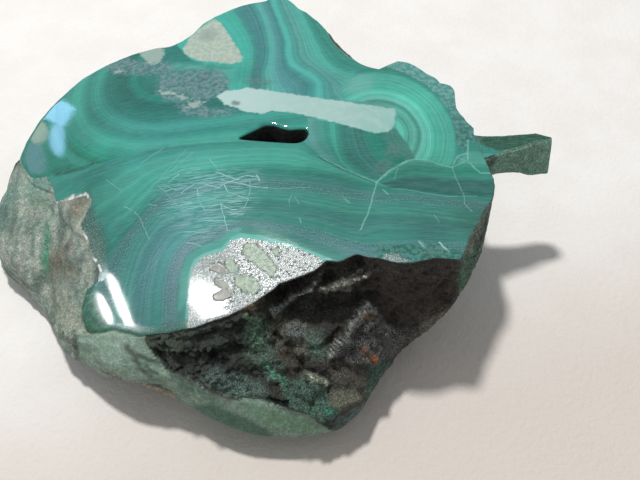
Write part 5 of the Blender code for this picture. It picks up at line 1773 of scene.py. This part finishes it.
@dataclass(frozen=True)
class PolishedFinish:
    """The polished face: bands, strips, inclusions, veins and scratches under one gloss."""

    name: str = "polished_bands"
    veil: float = 0.038
    light: float = 1.0
    gloss: float = 0.05
    refraction: float = 1.72
    haze_share: float = 0.1
    haze_roughness: float = 0.14
    relief_height: float = 0.16
    line_depth: float = 1.0
    lines_per_band: float = 8.0
    vein_seen: Seen = (140, 205, 190)
    seam_seen: Seen = (52, 62, 50)
    scratch_seen: Seen = (160, 206, 208)
    painted_glint_seen: Seen = (236, 244, 244)
    # Each row: the turn of the hairlines in degrees, how close they lie and how few there are.
    hairline_sets: tuple[Point, ...] = (
        (4.0, 8.0, 0.64), (-16.0, 7.0, 0.65), (34.0, 7.5, 0.67), (58.0, 7.0, 0.68),
        (-62.0, 7.5, 0.67), (-38.0, 7.0, 0.68),
    )

    def colour(self, seen: Seen) -> tuple[float, ...]:
        """Return the base colour of a mark of the polished face."""
        return paint(seen, self.veil, self.light)

    def over(self, bench: Bench, under: Source, share: Source, most: float, seen: Seen) -> Source:
        """Lay a colour over another by a share of at most so much."""
        return bench.blend(bench.times(share, most), under, self.colour(seen))

    def material(self) -> bpy.types.Material:
        """Build the finish."""
        bench, shader = new_material(self.name)
        space = bench.object_place()
        place = bench.plan_place(space)
        layers = FaceLayers(self, bench, place, self.banding(bench, place))
        relief = layers.lay_all()
        base, dull = self.lines(bench, place, layers.base, layers.dull)
        base, dull, relief = self.broken_left(bench, space, place, (base, dull, relief))
        bench.feed(shader.inputs["Base Color"], base)
        bench.feed(shader.inputs["Roughness"], dull)
        shader.inputs["IOR"].default_value = self.refraction
        shader.inputs["Coat Weight"].default_value = self.haze_share
        shader.inputs["Coat Roughness"].default_value = self.haze_roughness
        smooth = bench.bump(bench.noise(place, 0.5, 2.0), 0.004)
        fine = bench.bump(bench.noise(place, 5.0, 3.0, 0.7), 0.002, smooth)
        bumps = bench.bump(relief, self.relief_height, fine)
        bench.feed(shader.inputs["Normal"], bumps)
        bench.feed(shader.inputs["Coat Normal"], bumps)
        return bench.material

    def banding(self, bench: Bench, place: Source) -> Source:
        """Lay the families of bands beside each other, with their finest lines."""
        sway = bench.less(bench.noise(place, 0.35, 4.0, 0.55), 0.5)
        base, value = None, None
        for family in FAMILIES:
            wave = bench.times(sway, family.waviness * 2.0)
            here = bench.plus(bench.mark(family.name), wave)
            share = bench.math("DIVIDE", bench.less(here, family.low), family.span, clamp=True)
            stops = [((at - family.low) / family.span, self.colour(seen)) for at, seen in family.colours]
            colour = bench.ramp(share, stops)
            own = bench.times(here, 1.0 if family.guides else 0.4)
            if base is None:
                base, value = colour, own
                continue
            area = bench.step(bench.mark(family.name + "_area"), -0.25, 0.25)
            base = bench.blend(area, base, colour)
            value = bench.between(area, value, own)
        lines = bench.add("ShaderNodeTexNoise", noise_dimensions="1D")
        bench.feed(lines.inputs["W"], bench.times(value, self.lines_per_band))
        lines.inputs["Scale"].default_value = 1.0
        lines.inputs["Detail"].default_value = 4.0
        lines.inputs["Roughness"].default_value = 0.8
        depth = bench.times(bench.less(lines.outputs["Fac"], 0.5), self.line_depth)
        cloud = bench.times(bench.less(bench.noise(place, 0.5, 4.0, 0.6), 0.5), 0.3)
        base = bench.shaded(base, bench.plus(bench.plus(depth, cloud), 1.0))
        return bench.blend(1.0, base, bench.mark("shade", "Color"), "MULTIPLY")

    def lines(self, bench: Bench, place: Source, base: Source, dull: Source) -> tuple[Source, Source]:
        """Draw the seams, the veins and the scratches."""
        base = self.over(bench, base, self.strokes(bench, place, BROWN_SEAM), 0.6, self.seam_seen)
        base = self.over(bench, base, self.strokes(bench, place, PALE_VEINS), 0.6, self.vein_seen)
        scratches = bench.larger(self.strokes(bench, place, SCRATCHES), self.hairlines(bench, place))
        base = self.over(bench, base, scratches, 0.85, self.scratch_seen)
        return base, bench.between(scratches, dull, 0.25)

    def broken_left(self, bench: Bench, space: Source, place: Source,
                    under: tuple[Source, Source, Source]) -> tuple[Source, Source, Source]:
        """Let the broken rock at the left of the face run out raggedly into the polish, with painted
        glints on its chips.

        Args:
            bench: the material's bench.
            space: the place on the object.
            place: the place seen from above.
            under: the colour, roughness and relief so far.

        Returns:
            The colour, roughness and relief with the rock laid over them.
        """
        colour, rough, height = RockFinish().look(bench, space)
        torn = bench.times(bench.less(bench.noise(place, 1.6, 4.0, 0.7), 0.5), 1.2)
        share = bench.step(bench.plus(bench.mark(MATRIX_ON_FACE.name), torn), -0.08, 0.08)
        base, dull, relief = under
        raised = bench.times(height, bench.times(share, 1.0 / self.relief_height))
        # Painted glints: the glint strokes are laid into the colour in near-white.
        painted_glint = self.strokes(bench, place, PAINTED_GLINTS)
        colour = bench.blend(painted_glint, bench.blend(share, base, colour), paint(self.painted_glint_seen))
        return colour, bench.between(share, dull, rough), bench.plus(relief, raised)

    def strokes(self, bench: Bench, place: Source, strokes: tuple[Stroke, ...]) -> Source:
        """Return how strongly a set of strokes covers each place.

        Args:
            bench: the material's bench.
            place: the place seen from above.
            strokes: the veins or scratches to draw.

        Returns:
            A share from 0 to 1.
        """
        cover: Source = 0.0
        wobble = bench.noise(place, 1.1, 2.0, output="Color")
        wobble = bench.vector("SUBTRACT", wobble, (0.5, 0.5, 0.5))
        moved = bench.vector("ADD", place, bench.vector("MULTIPLY", wobble, (0.35, 0.35, 0.0)))
        fade = bench.step(bench.noise(place, 0.8, 2.0), 0.2, 0.5)
        for stroke in strokes:
            gap: Source = 9.0
            for start, end in zip(stroke.places, stroke.places[1:]):
                gap = bench.math("MINIMUM", gap, self.gap_to(bench, moved, start, end))
            line = bench.step(gap, stroke.half_width * 1.5, stroke.half_width * 0.3)
            cover = bench.larger(cover, bench.times(line, stroke.strength))
        return bench.times(cover, fade)

    def gap_to(self, bench: Bench, place: Source, start: Point, end: Point) -> Source:
        """Return how far a place is from the straight line between two places."""
        way = Vector(end) - Vector(start)
        length = way.length
        way.normalize()
        from_start = bench.vector("SUBTRACT", place, (start[0], start[1], 0.0))
        along = bench.along(from_start, (way.x, way.y, 0.0))
        along = bench.math("MINIMUM", bench.larger(along, 0.0), length)
        foot = bench.add("ShaderNodeVectorMath", operation="SCALE")
        foot.inputs[0].default_value = (way.x, way.y, 0.0)
        bench.feed(foot.inputs["Scale"], along)
        return bench.away(from_start, foot.outputs[0])

    def hairlines(self, bench: Bench, place: Source) -> Source:
        """Return the finest polishing scratches, which lie in a few directions."""
        total: Source = 0.0
        zone = bench.step(bench.mark(SCRATCHED_ZONE.name), -2.5, 1.5)
        for turn, closeness, rarity in self.hairline_sets:
            mapping = bench.add("ShaderNodeMapping")
            bench.feed(mapping.inputs["Vector"], place)
            mapping.inputs["Rotation"].default_value = (0.0, 0.0, math.radians(turn))
            mapping.inputs["Scale"].default_value = (0.3, closeness, 1.0)
            streak = bench.noise(mapping.outputs[0], 1.0, 1.0, 0.4)
            total = bench.larger(total, bench.step(streak, rarity - 0.05, rarity + 0.04))
        return bench.times(total, bench.plus(bench.times(zone, 0.6), 0.12))


@dataclass
class FaceLayers:
    """The colour and the roughness of the polished face, as its marks are laid over the bands."""

    finish: PolishedFinish
    bench: Bench
    place: Source
    base: Source

    def __post_init__(self) -> None:
        """Set up the roughness and the noises that the marks share."""
        self.dull: Source = self.finish.gloss
        self.fine = self.bench.noise(self.place, 4.5, 3.0, 0.7)
        self.medium = self.bench.noise(self.place, 1.3, 4.0, 0.65)
        self.streaks = self.bench.noise(self.place, 0.5, 3.0, 0.6, 0.3)
        self.across = self.bench.along(self.place, (1.0, 0.0, 0.0))

    def lay_all(self) -> Source:
        """Lay every mark, from the lowest to the highest, and return their relief."""
        self.grey_bands()
        self.soft_patches()
        self.mottled_zone()
        self.pale_strip()
        self.beige_inclusion()
        self.rear_rock()
        chipped = self.chipped_edges()
        return self.pitted_inclusion(chipped)

    def lay(self, region: Region, colour: Source, edge: float, most: float, rough: float,
            ragged: float = 0.0) -> Source:
        """Lay a region's colour over what is there.

        Args:
            region: where it is laid.
            colour: its colour.
            edge: half the width of its soft edge.
            most: how far it covers what lies under it.
            rough: its roughness.
            ragged: how far its edge is torn.

        Returns:
            How far the region covers each place.
        """
        depth = self.bench.mark(region.name)
        if ragged:
            depth = self.bench.plus(depth, self.bench.times(self.bench.less(self.medium, 0.5), ragged))
        share = self.bench.times(self.bench.step(depth, -edge, edge), most)
        self.base = self.bench.blend(share, self.base, colour)
        self.dull = self.bench.between(share, self.dull, rough)
        return share

    def mixed(self, value: Source, low: float, high: float, under: Seen, over: Seen) -> Source:
        """Return one colour that turns into another as a value rises."""
        share = self.bench.step(value, low, high)
        return self.bench.blend(share, self.finish.colour(under), self.finish.colour(over))

    def fleck(self, colour: Source, share: Source, most: float, seen: Seen) -> Source:
        """Return a colour with flecks of another over it."""
        return self.finish.over(self.bench, colour, share, most, seen)

    def grey_bands(self) -> None:
        """Speckle the greyer bands, and beside the large highlight lay pale flecks, a painted glow of
        it, and dark flecks.
        """
        bench = self.bench
        south = bench.mark(SOUTH.name)
        owner = bench.step(bench.mark(SOUTH.name + "_area"), -0.1, 0.1)
        dust = bench.step(self.fine, 0.54, 0.66)
        grey = bench.plus(bench.window(south, 1.0, 2.0), bench.window(south, 4.65, 5.3))
        grey = bench.times(grey, owner)
        dark_dust = bench.times(grey, bench.step(self.fine, 0.46, 0.36))
        highlight_glow = bench.step(bench.away(self.place, (-17.0, -9.0, 0.0)), 10.0, 3.0)
        dark_mist = bench.times(highlight_glow, bench.step(self.fine, 0.46, 0.34))
        self.base = self.fleck(self.base, bench.times(grey, dust), 0.75, (140, 166, 170))
        self.base = self.fleck(self.base, dark_dust, 0.6, (62, 90, 96))
        self.base = self.fleck(self.base, bench.times(highlight_glow, dust), 0.34, (150, 182, 186))
        self.base = self.fleck(self.base, dark_mist, 0.3, (56, 98, 96))

    def soft_patches(self) -> None:
        """Lay the mint rim of the pitted inclusion and the soft patches of the bands."""
        colour = self.finish.colour
        self.lay(MINT_RIM, colour((97, 172, 161)), edge=0.3, most=0.9, rough=0.06)
        self.lay(HAZE, colour((120, 182, 176)), edge=1.2, most=0.6, rough=0.08)
        greens = self.mixed(self.medium, 0.42, 0.58, (30, 104, 88), (84, 142, 136))
        self.lay(SMOOTH_GREEN, greens, edge=0.5, most=0.85, rough=0.07)
        violets = self.mixed(self.medium, 0.42, 0.58, (82, 122, 116), (108, 134, 130))
        self.lay(VIOLET_PATCHES, violets, edge=0.5, most=0.5, rough=0.12, ragged=1.5)

    def mottled_zone(self) -> None:
        """Lay the mottled zone: violet grey, green and pale specks."""
        gap = self.mixed(self.streaks, 0.42, 0.6, (76, 152, 142), (96, 168, 158))
        self.lay(TEAL_GAP, gap, edge=0.7, most=0.9, rough=0.07)
        mottle = self.mixed(self.medium, 0.4, 0.6, (76, 132, 126), (132, 150, 160))
        mottle = self.fleck(mottle, self.bench.step(self.streaks, 0.52, 0.66), 0.5, (84, 106, 116))
        self.lay(MOTTLED_ZONE, mottle, edge=0.8, most=0.85, rough=0.1, ragged=2.0)
        specks = self.finish.colour((184, 200, 192))
        self.lay(MOTTLED_SPECKS, specks, edge=0.35, most=0.65, rough=0.12, ragged=2.2)

    def pale_strip(self) -> None:
        """Lay the pale strip, a little darker towards its right end."""
        strip = self.mixed(self.across, -6.0, 8.0, (183, 212, 211), (170, 203, 199))
        right = self.bench.step(self.across, 8.0, 21.0)
        strip = self.bench.blend(right, strip, self.finish.colour((150, 194, 188)))
        strip = self.fleck(strip, self.bench.step(self.streaks, 0.4, 0.65), 0.3, (196, 216, 212))
        strip = self.fleck(strip, self.bench.step(self.fine, 0.56, 0.7), 0.14, (136, 180, 172))
        self.lay(PALE_STRIP, strip, edge=0.22, most=1.0, rough=0.12, ragged=0.9)

    def beige_inclusion(self) -> None:
        """Lay the beige inclusion at the far edge."""
        beige = self.mixed(self.medium, 0.4, 0.62, (166, 186, 176), (186, 200, 188))
        grey_patch = self.bench.step(self.bench.away(self.place, (-11.0, 38.0, 0.0)), 2.6, 0.8)
        beige = self.fleck(beige, grey_patch, 0.55, (138, 156, 150))
        beige = self.fleck(beige, self.bench.step(self.fine, 0.58, 0.7), 0.55, (206, 180, 160))
        self.lay(BEIGE_INCLUSION, beige, edge=0.3, most=1.0, rough=0.14, ragged=0.9)

    def rear_rock(self) -> None:
        """Lay the rock that shows through at the far right rim, and the dark root of the tab."""
        near = self.mixed(self.medium, 0.42, 0.6, (62, 110, 104), (92, 146, 140))
        far = self.mixed(self.medium, 0.42, 0.6, (84, 142, 138), (118, 172, 166))
        back = self.bench.along(self.place, (0.0, 1.0, 0.0))
        rock = self.bench.blend(self.bench.step(back, 12.0, 24.0), near, far)
        rock = self.fleck(rock, self.bench.step(self.fine, 0.6, 0.72), 0.3, (156, 190, 182))
        root = self.mixed(self.medium, 0.42, 0.6, (26, 80, 64), (46, 100, 84))
        rock = self.bench.blend(self.bench.step(self.across, 34.6, 36.2), rock, root)
        self.lay(ROCK_STRIP, rock, edge=0.25, most=0.95, rough=0.3, ragged=1.2)

    def chipped_edges(self) -> Source:
        """Lay the chipped zones beside the matrix and at the front edge.

        Returns:
            How chipped each place is, from 0 to 1.
        """
        chips = self.mixed(self.fine, 0.48, 0.6, (48, 92, 86), (150, 168, 172))
        chipped = self.lay(GREY_CHIPS, chips, edge=0.6, most=0.8, rough=0.2, ragged=2.0)
        # The near-white specks beside the matrix are painted glints of its chipped crystals.
        specks = self.mixed(self.fine, 0.54, 0.66, (38, 88, 78), (170, 196, 196))
        beside_matrix = self.lay(DARK_EDGE, specks, edge=1.1, most=0.85, rough=0.2, ragged=2.4)
        rim = self.mixed(self.fine, 0.46, 0.64, (30, 92, 76), (98, 150, 142))
        self.lay(FRONT_RIM, rim, edge=0.3, most=0.7, rough=0.28, ragged=2.2)
        corner = self.mixed(self.medium, 0.4, 0.62, (34, 88, 68), (74, 140, 112))
        self.lay(DARK_GREEN, corner, edge=0.4, most=0.8, rough=0.1, ragged=1.2)
        return self.bench.larger(chipped, self.bench.times(beside_matrix, 0.5))

    def pitted_inclusion(self, chipped: Source) -> Source:
        """Lay the pitted inclusion with its lumps and pits.

        Args:
            chipped: how chipped each place is, from 0 to 1.

        Returns:
            The relief of the whole face, as a share of the finish's relief height.
        """
        bench = self.bench
        torn = bench.times(bench.less(self.medium, 0.5), 5.0)
        rough_side = bench.step(bench.plus(self.across, torn), -4.6, -2.2)
        grains = bench.cells(self.place, 4.4).outputs["Distance"]
        sandy = self.mixed(grains, 0.2, 0.55, (248, 252, 252), (162, 174, 174))
        sandy = self.fleck(sandy, bench.step(self.medium, 0.5, 0.66), 0.45, (140, 152, 150))
        teal_side = bench.step(bench.along(self.place, (-0.83, 0.55, 0.0)), -0.4, 1.8)
        sandy = self.fleck(sandy, teal_side, 0.75, (120, 172, 172))
        pitted = self.lay(PITTED_ZONE, sandy, edge=0.15, most=1.0, rough=0.14, ragged=0.5)
        rough_pitted = bench.times(pitted, rough_side)
        self.dull = bench.between(rough_pitted, self.dull, 0.24)
        holes = bench.step(bench.noise(self.place, 1.9, 2.0, 0.6), 0.6, 0.66)
        greens = self.mixed(self.medium, 0.4, 0.6, (142, 172, 156), (184, 198, 176))
        browns = self.mixed(self.medium, 0.4, 0.6, (140, 142, 136), (172, 170, 162))
        lumps, rings = [], []
        for region, colour in ((PALE_LUMPS, greens), (BROWN_LUMPS, browns)):
            lumps.append(self.lay(region, colour, edge=0.2, most=1.0, rough=0.5, ragged=0.7))
            rings.append(bench.window(bench.mark(region.name), -0.34, 0.1))
        on_lump = bench.larger(*lumps)
        ring = bench.times(bench.larger(*rings), bench.step(self.medium, 0.4, 0.6))
        self.base = self.fleck(self.base, ring, 0.75, (82, 92, 80))
        between_lumps = bench.less(1.0, bench.times(on_lump, 0.8))
        # The pits are painted dark, as the shade in them, and sunk by the relief.
        pits = bench.times(bench.times(bench.times(holes, pitted), rough_side), between_lumps)
        self.base = self.fleck(self.base, pits, 0.8, (62, 74, 68))
        self.dull = bench.between(pits, self.dull, 0.8)
        loose = bench.times(bench.times(grains, rough_pitted), 0.36)
        relief = bench.less(loose, bench.times(pits, 1.1))
        relief = bench.plus(relief, bench.times(chipped, bench.times(self.fine, 0.6)))
        return bench.plus(relief, bench.times(on_lump, 0.6))


@dataclass(frozen=True)
class PocketFinish:
    """The dark walls of the natural pocket, painted near-black as the shade deep inside it."""

    name: str = "pocket_wall"
    seen: Seen = (44, 50, 44)
    deep_seen: Seen = (26, 32, 28)

    def material(self) -> bpy.types.Material:
        """Build the finish."""
        bench, shader = new_material(self.name)
        place = bench.object_place()
        rough = bench.noise(place, 1.4, 4.0, 0.7)
        colour = bench.blend(bench.step(rough, 0.35, 0.65), paint(self.deep_seen), paint(self.seen))
        bench.feed(shader.inputs["Base Color"], colour)
        bench.feed(shader.inputs["Roughness"], bench.between(rough, 0.6, 0.95))
        bench.feed(shader.inputs["Normal"], bench.bump(rough, 0.5))
        return bench.material


@dataclass(frozen=True)
class Window:
    """A bright pane of the room, which mostly shows as a reflection in the polish.

    Its place is a turn from straight behind the stone, to the left where it is below zero, and a
    rise above the floor, both in degrees. Its width, height and roll are degrees too.
    """

    name: str
    turn: float
    rise: float
    width: float
    height: float
    strength: float
    colour: Point = (1.0, 1.0, 1.0)
    roll: float = 0.0
    round: bool = False


@dataclass
class Studio:
    """The plain pale floor, the lights and the camera."""

    floor_half: float = 1.6
    camera_place: Point = (9.4914, -81.6727, 115.6063)
    camera_tilt: float = 38.0
    lens: float = 45.0
    room: float = 0.36
    lamp_distance: float = 0.6
    key_way: Point = (-0.158, 0.312, 0.937)
    key_width: float = 0.06
    key_power: float = 2.85
    key_colour: Point = (1.0, 0.975, 0.94)
    windows: tuple[Window, ...] = (
        Window("high_window", -99.2, 44.8, 11.0, 14.0, 34.0, round=True),
        Window("streak_right", -94.8, 16.0, 11.0, 2.0, 30.0, roll=-17.0, round=True),
        Window("streak_left", -94.8, 10.9, 5.4, 1.6, 30.0, roll=-19.0, round=True),
        Window("blue_low", -48.2, 10.9, 7.6, 8.4, 5.2, (0.34, 0.60, 1.0)),
        Window("blue_top", -56.9, 13.6, 10.6, 4.0, 3.8, (0.34, 0.60, 1.0), roll=4.0, round=True),
        Window("beige_wall", -56.2, 8.2, 6.8, 5.4, 1.5, (1.0, 0.76, 0.74), round=True),
        Window("violet_wall", -63.6, 7.8, 8.6, 5.8, 0.7, (0.62, 0.4, 1.0), round=True),
    )

    def build(self) -> None:
        """Set up the whole studio."""
        self.add_floor()
        self.add_camera()
        self.add_world()
        self.add_key()
        for window in self.windows:
            self.add_window(window)

    def add_floor(self) -> None:
        """Lay the floor, with a faint grain, painted darker and warmer towards the front right as a
        falloff of the light.
        """
        skin = bmesh.new()
        bmesh.ops.create_grid(skin, x_segments=2, y_segments=2, size=self.floor_half)
        floor = add_object("studio_floor", skin)
        bench, shader = new_material("pale_floor")
        place = bench.object_place()
        grain = bench.noise(place, 0.9, 5.0, 0.65)
        broad = bench.noise(place, 0.09, 3.0, 0.6)
        colour = bench.blend(bench.step(broad, 0.3, 0.7), paint((238, 236, 234)), paint((243, 242, 241)))
        # Painted falloff of the light: the floor is darker and warmer towards the front right.
        painted_falloff = bench.step(bench.along(place, (0.3, -0.95, 0.0)), -5.0, 38.0)
        colour = bench.blend(bench.times(painted_falloff, 0.8), colour, paint((214, 204, 195)))
        bench.feed(shader.inputs["Base Color"], colour)
        shader.inputs["Roughness"].default_value = 0.7
        bench.feed(shader.inputs["Normal"], bench.bump(grain, 0.22))
        floor.data.materials.append(bench.material)

    def add_camera(self) -> None:
        """Place the camera as the photo was taken."""
        data = bpy.data.cameras.new("camera")
        data.lens = self.lens
        data.clip_start = 0.001
        camera = bpy.data.objects.new("camera", data)
        bpy.context.scene.collection.objects.link(camera)
        camera.location = Vector(self.camera_place) * MM
        camera.rotation_euler = (math.radians(self.camera_tilt), 0.0, 0.0)
        bpy.context.scene.camera = camera

    def add_world(self) -> None:
        """Give the room a soft pale light from all round."""
        world = bpy.data.worlds.new("studio")
        world.use_nodes = True
        background = world.node_tree.nodes["Background"]
        background.inputs["Color"].default_value = (0.98, 0.99, 1.0, 1.0)
        background.inputs["Strength"].default_value = self.room
        bpy.context.scene.world = world
        bpy.context.scene.view_settings.view_transform = "Standard"

    def hang(self, name: str, way: Vector, data: bpy.types.AreaLight) -> bpy.types.Object:
        """Hang a lamp in a direction from the stone, facing it, and return it."""
        lamp = bpy.data.objects.new(name, data)
        lamp.location = way.normalized() * self.lamp_distance + Vector((0.0, 0.0, 0.02))
        lamp.rotation_mode = "QUATERNION"
        lamp.rotation_quaternion = way.to_track_quat("Z", "Y")
        lamp.visible_camera = False
        bpy.context.scene.collection.objects.link(lamp)
        return lamp

    def add_key(self) -> None:
        """Hang the soft key light, nearly overhead and a little behind at the left."""
        data = bpy.data.lights.new("key", "AREA")
        data.shape = "DISK"
        data.size = self.key_width
        data.energy = self.key_power
        data.color = self.key_colour
        self.hang("key", Vector(self.key_way), data)

    def add_window(self, window: Window) -> None:
        """Hang one bright pane."""
        data = bpy.data.lights.new(window.name, "AREA")
        data.shape = "ELLIPSE" if window.round else "RECTANGLE"
        turn, rise = math.radians(window.turn), math.radians(window.rise)
        data.size = self.lamp_distance * math.radians(window.width) * math.cos(rise)
        data.size_y = self.lamp_distance * math.radians(window.height)
        data.energy = window.strength * math.pi * data.size * data.size_y
        data.color = window.colour
        way = Vector((math.cos(rise) * math.sin(turn), math.cos(rise) * math.cos(turn), math.sin(rise)))
        lamp = self.hang(window.name, way, data)
        lamp.rotation_quaternion @= Quaternion((0.0, 0.0, 1.0), math.radians(window.roll))
        lamp.visible_diffuse = False


def main() -> None:
    """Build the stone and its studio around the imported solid."""
    logging.basicConfig(level=logging.INFO, format="%(message)s")
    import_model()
    body = StoneBody()
    stone = body.build()
    body.dress(stone)
    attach(stone, "root")
    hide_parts("malachite_slab")
    LOG.info("%s: %d points, %d faces", stone.name, len(stone.data.vertices), len(stone.data.polygons))
    Studio().build()
    LOG.info("studio: floor, lights and camera")


if __name__ == "__main__":
    main()
